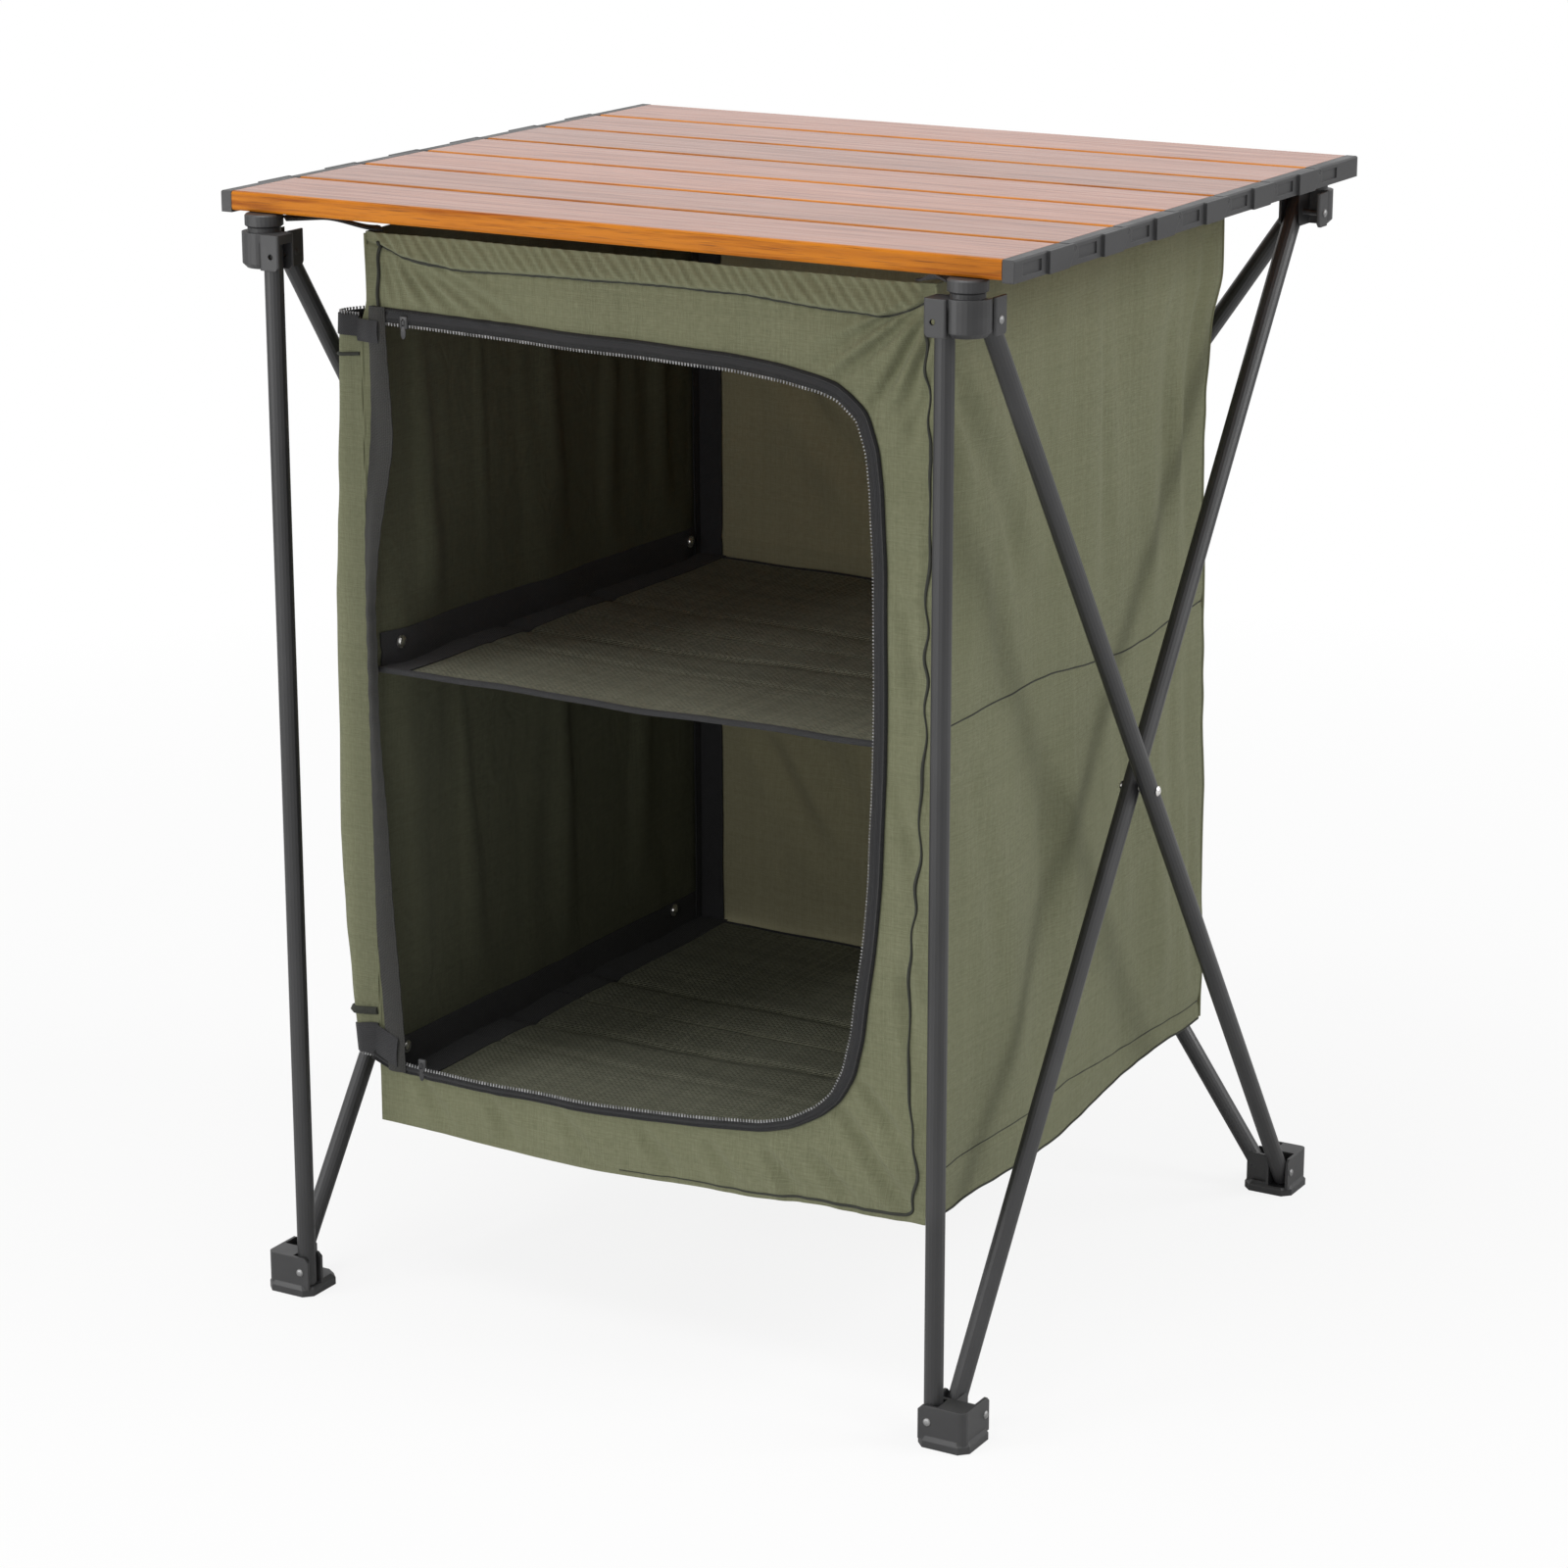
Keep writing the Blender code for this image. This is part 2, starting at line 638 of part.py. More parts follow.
def make_cap(index, sign, mat):
    """Moulded end cap of a slat, with its link pin at the front and its lug at the back."""
    hand = "right" if sign > 0 else "left"
    front = slat_front(index)
    rear = front + SLAT_DEPTH
    inner, face, outside = CAP_FACE - CAP_THICKNESS, CAP_FACE, TOP_WIDTH / 2
    section = [(sign * (inner + x), z) for x, z in cap_section()]
    cap = add_object(f"cap_{index}_{hand}", prism(section, 1, front, rear), mat)
    cut_cap_recess(cap, front, sign)
    if index > 1:
        y, z = link_axis(index - 1)
        start, end = (sign * (face - 0.001), y, z), (sign * outside, y, z)
        combine(cap, rod(start, end, LINK_PIN_RADIUS, PIN_SIDES), "UNION")
    if index < SLAT_COUNT:
        low, high = sorted((sign * (face - SEAT_GAP), sign * outside))
        combine(cap, prism(lug_outline(index), 0, low, high), "UNION")
        y, z = link_axis(index)
        swept = SLAT_SEAM + LINK_PIN_SETBACK + LINK_PIN_DROP + 0.001
        relief = block(
            (sign * (face - 0.001), rear + 0.0001, CAP_UNDERSIDE - 0.001),
            (sign * (face + SEAT_GAP), rear + swept, TOP_HEIGHT + 0.001),
        )
        combine(cap, relief, "DIFFERENCE")
        start, end = (sign * face, y, z), (sign * (outside + 0.001), y, z)
        combine(cap, rod(start, end, LINK_PIN_RADIUS + SEAT_GAP, PIN_SIDES), "DIFFERENCE")
    return cap


def cut_cap_recess(cap, front, sign):
    """Shallow recess in a cap's outer face, round the screw that holds it on the slat."""
    middle = (CAP_UNDERSIDE + TOP_HEIGHT) / 2
    start = front + CAP_RECESS_SETBACK
    recess = block(
        (sign * (CAP_FACE - CAP_RECESS_DEPTH), start, middle - CAP_RECESS_HEIGHT / 2),
        (sign * (CAP_FACE + 0.001), start + CAP_RECESS_LENGTH, middle + CAP_RECESS_HEIGHT / 2),
    )
    combine(cap, recess, "DIFFERENCE")


def pinned(t):
    """Nought at both ends of a stretch and one in its middle."""
    return math.sin(math.pi * min(max(t, 0.0), 1.0)) ** 2


def wall_fold(u, z, phase):
    """Soft upright folds of a hanging wall, pinned at its corners and at its seams."""
    if z > SHELF_LEVEL:
        part = (z - SHELF_LEVEL) / (WALL_TOP - SHELF_LEVEL)
    elif z > FLOOR_LEVEL:
        part = (z - FLOOR_LEVEL) / (SHELF_LEVEL - FLOOR_LEVEL)
    else:
        return 0.0
    wave = 0.6 * math.sin(2 * math.pi * (2.5 * u + 0.30 * part) + phase)
    wave += 0.4 * math.sin(2 * math.pi * (4.5 * u - 0.35 * part) + 2.1 * phase)
    return FOLD_DEPTH * pinned(u) ** 0.5 * pinned(part) ** 0.5 * wave


def cloth_grid(place, columns, rows):
    """Closed thin solid from two grids; place gives a point for u, v and side 0 or 1."""
    bm = bmesh.new()
    sides = []
    for side in (0, 1):
        grid = []
        for j in range(rows + 1):
            row = [bm.verts.new(place(i / columns, j / rows, side)) for i in range(columns + 1)]
            grid.append(row)
        sides.append(grid)
    for grid in sides:
        for j in range(rows):
            for i in range(columns):
                bm.faces.new((grid[j][i], grid[j][i + 1], grid[j + 1][i + 1], grid[j + 1][i]))
    near, far = sides
    for i in range(columns):
        for j in (0, rows):
            bm.faces.new((near[j][i], near[j][i + 1], far[j][i + 1], far[j][i]))
    for j in range(rows):
        for i in (0, columns):
            bm.faces.new((near[j][i], near[j + 1][i], far[j + 1][i], far[j][i]))
    return bm


def wall_levels(v):
    """Heights of a wall's rows, with rows on the floor seam and the shelf seam."""
    stops = [WALL_BOTTOM, FLOOR_LEVEL, SHELF_LEVEL, WALL_TOP]
    counts = [1, (WALL_ROWS - 1) // 2, WALL_ROWS - 1 - (WALL_ROWS - 1) // 2]
    row = round(v * WALL_ROWS)
    for low, high, count in zip(stops, stops[1:], counts):
        if row <= count:
            return low + (high - low) * row / count
        row -= count
    return WALL_TOP


def make_wall(name, face, outward, half, phase, mat):
    """A hanging cloth wall whose outer side lies at a distance along the outward direction."""
    outward = Vector(outward)
    across = Vector((0, 0, 1)).cross(outward)

    def place(u, v, side):
        z = wall_levels(v)
        out = face - side * CLOTH + wall_fold(u, z, phase)
        return outward * out + across * half * (2 * u - 1) + Vector((0, 0, z))

    return add_object(name, cloth_grid(place, WALL_COLUMNS, WALL_ROWS), mat, 60.0)


def opening_distance(x, z, grow):
    """Signed distance of a point from the door opening's outline, grown by an offset."""
    middle_x, middle_z = (DOOR_LEFT + DOOR_RIGHT) / 2, (DOOR_TOP + DOOR_BOTTOM) / 2
    half_x = (DOOR_RIGHT - DOOR_LEFT) / 2 + grow
    half_z = (DOOR_TOP - DOOR_BOTTOM) / 2 + grow
    radius = (DOOR_ROUND if x > middle_x else DOOR_CORNER) + grow
    dx = abs(x - middle_x) - half_x + radius
    dz = abs(z - middle_z) - half_z + radius
    outside = math.hypot(max(dx, 0.0), max(dz, 0.0))
    return outside + min(max(dx, dz), 0.0) - radius


def opening_point(turn, grow):
    """Point of the opening's outline that is seen at an angle from its middle."""
    middle_x, middle_z = (DOOR_LEFT + DOOR_RIGHT) / 2, (DOOR_TOP + DOOR_BOTTOM) / 2
    low, high = 0.0, 1.0
    for _ in range(40):
        reach = (low + high) / 2
        x, z = middle_x + reach * math.cos(turn), middle_z + reach * math.sin(turn)
        if opening_distance(x, z, grow) < 0:
            low = reach
        else:
            high = reach
    return x, z


def panel_point(turn):
    """Point of the front wall's rectangular edge at an angle from the opening's middle."""
    middle_x, middle_z = (DOOR_LEFT + DOOR_RIGHT) / 2, (DOOR_TOP + DOOR_BOTTOM) / 2
    dx, dz = math.cos(turn), math.sin(turn)
    half = BODY_WIDTH / 2
    room_x = (half - middle_x) / dx if dx > 0 else (-half - middle_x) / dx
    room_z = (WALL_TOP - middle_z) / dz if dz > 0 else (WALL_BOTTOM - middle_z) / dz
    reach = min(room_x, room_z)
    return middle_x + reach * dx, middle_z + reach * dz


def seam_ease(x, z):
    """Nought where the front wall meets another wall or a level, and one away from them."""
    edge = (WALL_INNER - CLOTH - abs(x)) / (SEAM_REACH / 2)
    shelf = abs(z - SHELF_LEVEL + SHELF_SAG / 2) / SEAM_REACH
    floor = (z - DOOR_BOTTOM + TAPE_WIDTH) / SEAM_REACH
    ease = min(max(shelf - 0.4, 0.0), 1.0) * min(max(floor, 0.0), 1.0)
    return ease * min(max(edge, 0.0), 1.0)


def ring_turns():
    """Angles round the opening, evenly spread, with one at each corner of the wall."""
    middle_x, middle_z = (DOOR_LEFT + DOOR_RIGHT) / 2, (DOOR_TOP + DOOR_BOTTOM) / 2
    turns = [2 * math.pi * (k + 0.5) / RING_SAMPLES for k in range(RING_SAMPLES)]
    for x in (-BODY_WIDTH / 2, BODY_WIDTH / 2):
        for z in (WALL_BOTTOM, WALL_TOP):
            turns.append(math.atan2(z - middle_z, x - middle_x) % (2 * math.pi))
    return sorted(turns)


def ring_solid(rings_near, rings_far):
    """Closed frame from rings that run from the opening out, on its near and far sides."""
    bm = bmesh.new()
    near = [[bm.verts.new(p) for p in ring] for ring in rings_near]
    far = [[bm.verts.new(p) for p in ring] for ring in rings_far]
    count = len(near[0])
    for k in range(count):
        nxt = (k + 1) % count
        for side in (near, far):
            for inner, outer in zip(side, side[1:]):
                bm.faces.new((inner[k], inner[nxt], outer[nxt], outer[k]))
        for edge in (0, -1):
            bm.faces.new((near[edge][k], near[edge][nxt], far[edge][nxt], far[edge][k]))
    return bm


def make_front_wall(mat):
    """Front wall: a cloth frame round the door opening, with soft pulls towards its corners."""
    turns = ring_turns()
    near, far = [], []
    for share, lift in ((None, 0.0), (0.0, 0.0), (0.35, 1.0), (0.7, 0.8), (1.0, 0.0)):
        ring_near, ring_far = [], []
        for turn in turns:
            x, z = opening_point(turn, 0.0 if share is None else TAPE_WIDTH)
            if share:
                edge_x, edge_z = panel_point(turn)
                x, z = x + (edge_x - x) * share, z + (edge_z - z) * share
            wave = math.sin(9 * turn) + 0.6 * math.sin(14 * turn + 1.0)
            depth = 0.4 * FOLD_DEPTH * lift * wave * seam_ease(x, z)
            ring_near.append((x, FRONT_FACE + depth, z))
            ring_far.append((x, FRONT_FACE + CLOTH + depth, z))
        near.append(ring_near)
        far.append(ring_far)
    return add_object("front_panel", ring_solid(near, far), mat, 60.0)


def make_zip_tape(mat):
    """Zip tape sewn on the front wall all round the opening."""
    turns = ring_turns()
    near_y = FRONT_FACE - SEAT_GAP - TAPE_THICKNESS
    far_y = FRONT_FACE - SEAT_GAP
    near, far = [], []
    for grow in (0.0, TAPE_WIDTH):
        points = [opening_point(turn, grow) for turn in turns]
        near.append([(x, near_y, z) for x, z in points])
        far.append([(x, far_y, z) for x, z in points])
    return add_object("zip_tape", ring_solid(near, far), mat)


def make_board(name, level, sag, rear, mat):
    """Half of the shelf or the floor, creased across the middle and sagging a little."""
    start, end = (CREASE_GAP / 2, BOARD_BACK) if rear else (-BOARD_BACK, -CREASE_GAP / 2)

    def place(u, v, side):
        x = BOARD_HALF * (2 * u - 1)
        y = start + (end - start) * v
        dip = sag * (1 - (x / BOARD_HALF) ** 2) * (1 - 0.7 * (y / BOARD_BACK) ** 2)
        return Vector((x, y, level - dip - side * BOARD))

    return add_object(name, cloth_grid(place, 10, 6), mat, 60.0)


def make_door(mat):
    """Door cloth, zipped open and laid back along the left wall in upright folds."""
    half_height = (DOOR_TOP - DOOR_BOTTOM) / 2 - CLOTH_GAP
    middle = (DOOR_TOP + DOOR_BOTTOM) / 2
    straight = DOOR_WIDTH - DOOR_ROUND

    def place(u, v, side):
        along = DOOR_WIDTH * u
        past = max(along - straight, 0.0)
        drop = DOOR_ROUND - math.sqrt(max(DOOR_ROUND**2 - past**2, 0.0))
        tall = half_height - drop * 0.97
        wave = math.sin(2 * math.pi * (3.5 * u + 0.15 * v)) * (0.35 + 0.65 * pinned(v))
        turn = min(along / DOOR_TURN, 1.0)
        ease = turn * turn * (3 - 2 * turn)
        x = DOOR_AXIS_X - ease * (DOOR_STANDOFF - DOOR_FOLD * wave) - DOOR_CLOTH * (0.5 - side)
        return Vector((x, DOOR_AXIS_Y + along, middle + tall * (2 * v - 1)))

    return add_object("door_panel", cloth_grid(place, 28, 8), mat, 60.0)


def make_slider(name, level, mat):
    """Zip slider with its pull, at the left end of its track."""
    back = FRONT_FACE - SEAT_GAP - TAPE_THICKNESS - SEAT_GAP
    x = DOOR_LEFT + DOOR_CORNER + SLIDER_WIDTH / 2
    body = block(
        (x - SLIDER_WIDTH / 2, back - SLIDER_DEPTH, level - SLIDER_HEIGHT / 2),
        (x + SLIDER_WIDTH / 2, back, level + SLIDER_HEIGHT / 2),
    )
    bmesh.ops.bevel(body, geom=list(body.edges), offset=0.0008, segments=1, affect="EDGES")
    slider = add_object(name, body, mat)
    front = back - SLIDER_DEPTH
    pull = block(
        (x - PULL_WIDTH / 2, front - PULL_THICKNESS, level - PULL_LENGTH),
        (x + PULL_WIDTH / 2, front + 0.0003, level + 0.001),
    )
    combine(slider, pull, "UNION")
    return slider


def make_strap(corner, mat):
    """Webbing strap from a hub's collar to the top corner of the cloth body."""
    sign_x, sign_y = CORNERS[corner]
    run = Vector((-sign_x, -sign_y, 0)).normalized()
    centre = Vector((*corner_point(corner, 0, 0), 0))
    cloth = Vector((sign_x * BODY_WIDTH / 2, sign_y * BODY_DEPTH / 2, 0))
    hub_end = centre + run * (COLLAR_RADIUS + CLOTH_GAP)
    cloth_end = cloth + run * STRAP_LAP
    across = Vector((0, 0, 1)).cross(run)
    hub_level = (ARM_TOP + COLLAR_TOP) / 2
    cloth_level = WALL_TOP + CLOTH_GAP + STRAP_THICKNESS / 2

    def place(u, v, side):
        point = hub_end.lerp(cloth_end, u) + across * STRAP_WIDTH * (v - 0.5)
        fall = pinned(u / 2)
        level = hub_level + (cloth_level - hub_level) * fall
        point.z = level + STRAP_THICKNESS * (0.5 - side)
        return point

    return add_object("strap_" + corner, cloth_grid(place, 6, 1), mat, 60.0)


def joint_table():
    """Moving bodies in order: name, the body that carries it, and a point on its joint's axis."""
    rear_seam = Vector((0, BOARD_BACK, 0))
    shelf, floor = Vector((0, 0, SHELF_LEVEL)), Vector((0, 0, FLOOR_LEVEL))
    door = Vector((DOOR_AXIS_X, DOOR_AXIS_Y, (DOOR_TOP + DOOR_BOTTOM) / 2))
    sliders = Vector((DOOR_LEFT + DOOR_CORNER + SLIDER_WIDTH / 2, FRONT_FACE, 0))
    last_slat = Vector((0, slat_front(SLAT_COUNT) + SLAT_DEPTH / 2, SLAT_UNDERSIDE))
    table = [
        ("foot_back_right", None, Vector((0, 0, 0))),
        ("right_bar_outer", "foot_back_right", scissor_point("right", "outer", "foot")),
        ("hub_front_right", "right_bar_outer", scissor_point("right", "outer", "hub")),
        ("right_bar_inner", "right_bar_outer", scissor_point("right", "outer", "crossing")),
        ("hub_back_right", "right_bar_inner", scissor_point("right", "inner", "hub")),
        ("foot_front_right", "right_bar_inner", scissor_point("right", "inner", "foot")),
        ("back_bar_inner", "foot_back_right", scissor_point("back", "inner", "foot")),
        ("hub_back_left", "back_bar_inner", scissor_point("back", "inner", "hub")),
        ("back_bar_outer", "back_bar_inner", scissor_point("back", "outer", "crossing")),
        ("foot_back_left", "back_bar_outer", scissor_point("back", "outer", "foot")),
        ("left_bar_inner", "foot_back_left", scissor_point("left", "inner", "foot")),
        ("hub_front_left", "left_bar_inner", scissor_point("left", "inner", "hub")),
        ("left_bar_outer", "left_bar_inner", scissor_point("left", "outer", "crossing")),
        ("foot_front_left", "left_bar_outer", scissor_point("left", "outer", "foot")),
        ("shelf_rear", "hub_back_right", shelf + rear_seam),
        ("shelf_front", "shelf_rear", shelf),
        ("floor_rear", "hub_back_right", floor + rear_seam),
        ("floor_front", "floor_rear", floor),
        ("door_panel", "hub_front_left", door),
        ("zip_slider_top", "hub_front_left", sliders),
        ("zip_slider_bottom", "hub_front_left", sliders),
        (f"slat_{SLAT_COUNT}", "hub_back_right", last_slat),
    ]
    for index in range(SLAT_COUNT - 1, 0, -1):
        table.append((f"slat_{index}", f"slat_{index + 1}", Vector((0, *link_axis(index)))))
    return table


def rider_table():
    """Pieces that ride on another piece's body, by name."""
    riders = {
        "front_panel": "hub_front_right",
        "right_panel": "hub_front_right",
        "zip_tape": "hub_front_right",
        "left_panel": "hub_front_left",
        "back_panel": "hub_back_right",
        "right_crossing_rivet": "right_bar_outer",
        "back_crossing_rivet": "back_bar_inner",
        "left_crossing_rivet": "left_bar_inner",
    }
    for hand in ("left", "right"):
        riders["post_rod_" + hand] = "hub_front_" + hand
        riders["post_tube_" + hand] = "foot_front_" + hand
        for index in range(1, SLAT_COUNT + 1):
            riders[f"cap_{index}_{hand}"] = f"slat_{index}"
    for corner in CORNERS:
        riders["strap_" + corner] = "hub_" + corner
    return riders


def hang_on_joints():
    """Give each body an empty on its joint's axis and parent the body's pieces to it."""
    joints, places = {}, {}
    for body, carrier, point in joint_table():
        joint = bpy.data.objects.new("joint_" + body, None)
        bpy.context.scene.collection.objects.link(joint)
        joint.empty_display_size = 0.02
        joint.parent = joints.get(carrier)
        joint.location = point - places.get(carrier, Vector((0, 0, 0)))
        joints[body], places[body] = joint, point
    riders = rider_table()
    for obj in list(bpy.data.objects):
        if obj.type != "MESH":
            continue
        body = riders.get(obj.name, obj.name)
        obj.data.transform(Matrix.Translation(-places[body]))
        obj.parent = joints[body]


def build():
    clear_scene()
    mats = {
        "wood": make_material("oiled_wood", (0.62, 0.26, 0.07), 0.35),
        "moulding": make_material("dark_moulding", (0.045, 0.045, 0.048), 0.5),
        "tube": make_material("powder_coat", (0.05, 0.05, 0.052), 0.45, 0.3),
        "rod": make_material("bare_rod", (0.55, 0.55, 0.56), 0.3, 1.0),
        "rivet": make_material("bright_rivet", (0.75, 0.75, 0.74), 0.3, 1.0),
        "cloth": make_material("olive_cloth", (0.17, 0.18, 0.11), 0.85),
        "webbing": make_material("black_webbing", (0.02, 0.02, 0.02), 0.8),
    }
    for corner in CORNERS:
        make_hub(corner, mats["moulding"])
        make_foot(corner, mats["moulding"])
        make_strap(corner, mats["webbing"])
    for side in SIDES:
        make_scissor(side, mats)
    for corner in ("front_left", "front_right"):
        make_post(corner, mats)
    for index in range(1, SLAT_COUNT + 1):
        make_slat(index, mats["wood"])
        for sign in (1, -1):
            make_cap(index, sign, mats["moulding"])
    side_half = BODY_DEPTH / 2 - CLOTH - CLOTH_GAP
    make_wall("right_panel", BODY_WIDTH / 2, (1, 0, 0), side_half, 0.4, mats["cloth"])
    make_wall("left_panel", BODY_WIDTH / 2, (-1, 0, 0), side_half, 1.9, mats["cloth"])
    make_wall("back_panel", BODY_DEPTH / 2, (0, 1, 0), BODY_WIDTH / 2, 3.1, mats["cloth"])
    make_front_wall(mats["cloth"])
    make_zip_tape(mats["webbing"])
    for half in ("rear", "front"):
        is_rear = half == "rear"
        make_board("shelf_" + half, SHELF_LEVEL, SHELF_SAG, is_rear, mats["cloth"])
        make_board("floor_" + half, FLOOR_LEVEL, FLOOR_SAG, is_rear, mats["cloth"])
    make_door(mats["cloth"])
    make_slider("zip_slider_top", DOOR_TOP + TAPE_WIDTH / 2, mats["moulding"])
    make_slider("zip_slider_bottom", DOOR_BOTTOM - TAPE_WIDTH / 2, mats["moulding"])
    hang_on_joints()


build()
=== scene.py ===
import math

import bpy
import numpy as np
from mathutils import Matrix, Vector


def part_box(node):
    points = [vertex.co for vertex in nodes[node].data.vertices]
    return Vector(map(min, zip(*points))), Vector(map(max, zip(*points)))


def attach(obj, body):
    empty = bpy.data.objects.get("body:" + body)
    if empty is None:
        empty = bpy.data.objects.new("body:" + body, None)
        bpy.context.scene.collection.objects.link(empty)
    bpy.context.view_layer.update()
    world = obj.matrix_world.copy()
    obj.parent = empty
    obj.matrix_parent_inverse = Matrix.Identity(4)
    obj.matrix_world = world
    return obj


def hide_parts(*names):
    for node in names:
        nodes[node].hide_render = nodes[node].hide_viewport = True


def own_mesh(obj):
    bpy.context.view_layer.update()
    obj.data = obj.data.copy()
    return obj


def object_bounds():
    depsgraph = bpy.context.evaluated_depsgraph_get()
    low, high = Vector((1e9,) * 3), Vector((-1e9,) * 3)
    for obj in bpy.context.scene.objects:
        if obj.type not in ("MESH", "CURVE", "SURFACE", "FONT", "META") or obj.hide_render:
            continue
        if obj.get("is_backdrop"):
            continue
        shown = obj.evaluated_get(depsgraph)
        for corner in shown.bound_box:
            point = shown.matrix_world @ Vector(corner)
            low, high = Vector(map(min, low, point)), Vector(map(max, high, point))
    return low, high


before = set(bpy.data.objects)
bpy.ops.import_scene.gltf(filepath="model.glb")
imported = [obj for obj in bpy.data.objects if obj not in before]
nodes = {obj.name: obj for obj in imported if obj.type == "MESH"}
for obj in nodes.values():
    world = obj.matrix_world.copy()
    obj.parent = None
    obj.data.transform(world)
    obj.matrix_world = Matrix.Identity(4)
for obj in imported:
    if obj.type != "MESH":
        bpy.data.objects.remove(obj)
cad_low, cad_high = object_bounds()


# Table top: seven boards of oiled hardwood, planed flat and rounded along their long edges.
# The stain sits dark on the faces and shows the orange wood along the rounded edges.
# They lie a narrow gap apart, held only by the moulded caps on their ends.
SLAT_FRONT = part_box("slat_1")[0].y
SLAT_PITCH = 0.0769
WOOD_FACE = (0.330, 0.120, 0.062, 1)
WOOD_FACE_STREAK = (0.150, 0.045, 0.022, 1)
WOOD_EDGE = (0.520, 0.170, 0.009, 1)
WOOD_EDGE_STREAK = (0.230, 0.048, 0.002, 1)
WOOD_PORE = (0.06, 0.02, 0.01, 1)


def feed(source, socket):
    """Link a node's output to an input, or set the input to a plain value."""
    if isinstance(source, bpy.types.NodeSocket):
        socket.id_data.links.new(source, socket)
    else:
        socket.default_value = source


def feed_all(inputs, **sources):
    """Feed several inputs by their labels, with an underscore for each space."""
    for label, source in sources.items():
        feed(source, inputs[label.replace("_", " ")])


def add(kind, *sources, into=(0, 1), out=0, **settings):
    """A node in the tree of its first linked source, fed in order; gives one of its outputs."""
    tree = next(s.id_data for s in sources if isinstance(s, bpy.types.NodeSocket))
    new = tree.nodes.new(kind)
    for name, value in settings.items():
        setattr(new, name, value)
    for source, label in zip(sources, into):
        feed(source, new.inputs[label])
    return new.outputs[out]


def calc(operation, first, second=0.5):
    """A sum with one or two outputs or numbers."""
    return add("ShaderNodeMath", first, second, operation=operation)


def remap(source, low, high, to_low=0.0, to_high=1.0):
    """Part of a value's range, spread over another range and held within it."""
    return add("ShaderNodeMapRange", source, low, high, to_low, to_high, into=range(5))


def blend(factor, low, high, kind="MIX"):
    """A mix of two colours."""
    return add(
        "ShaderNodeMix", factor, low, high, into=(0, 6, 7), out=2, data_type="RGBA", blend_type=kind
    )


def noise(place, scale, detail=4.0, distortion=0.0, roughness=0.5):
    """Noise that is stretched over a position, such as grain along a board."""
    spread = add("ShaderNodeMapping", place, scale, into=("Vector", "Scale"))
    return add(
        "ShaderNodeTexNoise", spread, 1.0, detail, distortion, roughness, out="Fac",
        into=("Vector", "Scale", "Detail", "Distortion", "Roughness"),
    )


def random_tone(step):
    """A random value for each whole step."""
    return add("ShaderNodeTexWhiteNoise", step, into=("W",), out="Value", noise_dimensions="1D")


def bump(height, distance, strength=1.0, normal=None):
    """The normal of a bump from a height in metres, on top of another normal if one is given."""
    sources = (height, distance, strength) + ((normal,) if normal else ())
    return add("ShaderNodeBump", *sources, into=("Height", "Distance", "Strength", "Normal"))


def split(place):
    """A position's three coordinates, by their letters."""
    return add("ShaderNodeSeparateXYZ", place).node.outputs


def start_material(name, colour, roughness, metallic=0.0, on_map=False, **values):
    """A material, its shader's inputs, and the place on the object or on the cloth's own map."""
    material = bpy.data.materials.new(name)
    material.use_nodes = True
    tree = material.node_tree
    shader = tree.nodes["Principled BSDF"].inputs
    feed_all(shader, Base_Color=colour, Roughness=roughness, Metallic=metallic, **values)
    if on_map:
        place = tree.nodes.new("ShaderNodeUVMap")
        place.uv_map = "UVMap"
        return material, shader, place.outputs[0]
    return material, shader, tree.nodes.new("ShaderNodeTexCoord").outputs["Object"]


def start_group(name, inputs, outputs):
    """A node group with its sockets, what comes into it and what goes out of it."""
    group = bpy.data.node_groups.new(name, "ShaderNodeTree")
    for way, sockets in (("INPUT", inputs), ("OUTPUT", outputs)):
        for label, kind in sockets.items():
            group.interface.new_socket(label, in_out=way, socket_type=f"NodeSocket{kind}")
    given, result = group.nodes.new("NodeGroupInput"), group.nodes.new("NodeGroupOutput")
    return group, given.outputs, result.inputs


def use_group(tree, group, **sources):
    """A node group used in a tree; gives its outputs."""
    new = tree.nodes.new("ShaderNodeGroup")
    new.node_tree = group
    feed_all(new.inputs, **sources)
    return new.outputs


def make_edge_wear_group():
    """Node group for rubbed edges: a softened normal, and a mask that is 1 on sharp edges."""
    group, given, result = start_group(
        "rubbed_edges", {"Reach": "Float"}, {"Mask": "Float", "Normal": "Vector"}
    )
    soft = add("ShaderNodeBevel", given["Reach"], into=("Radius",), samples=4)
    surface = group.nodes.new("ShaderNodeNewGeometry").outputs["Normal"]
    turn = add("ShaderNodeVectorMath", soft, surface, out="Value", operation="DOT_PRODUCT")
    place = group.nodes.new("ShaderNodeTexCoord").outputs["Object"]
    patchy = add("ShaderNodeTexNoise", place, 140.0, into=("Vector", "Scale"), out="Fac")
    worn = calc("MULTIPLY", remap(turn, 0.995, 0.80), patchy)
    feed_all(result, Mask=worn, Normal=soft)
    return group


rubbed_edges = make_edge_wear_group()


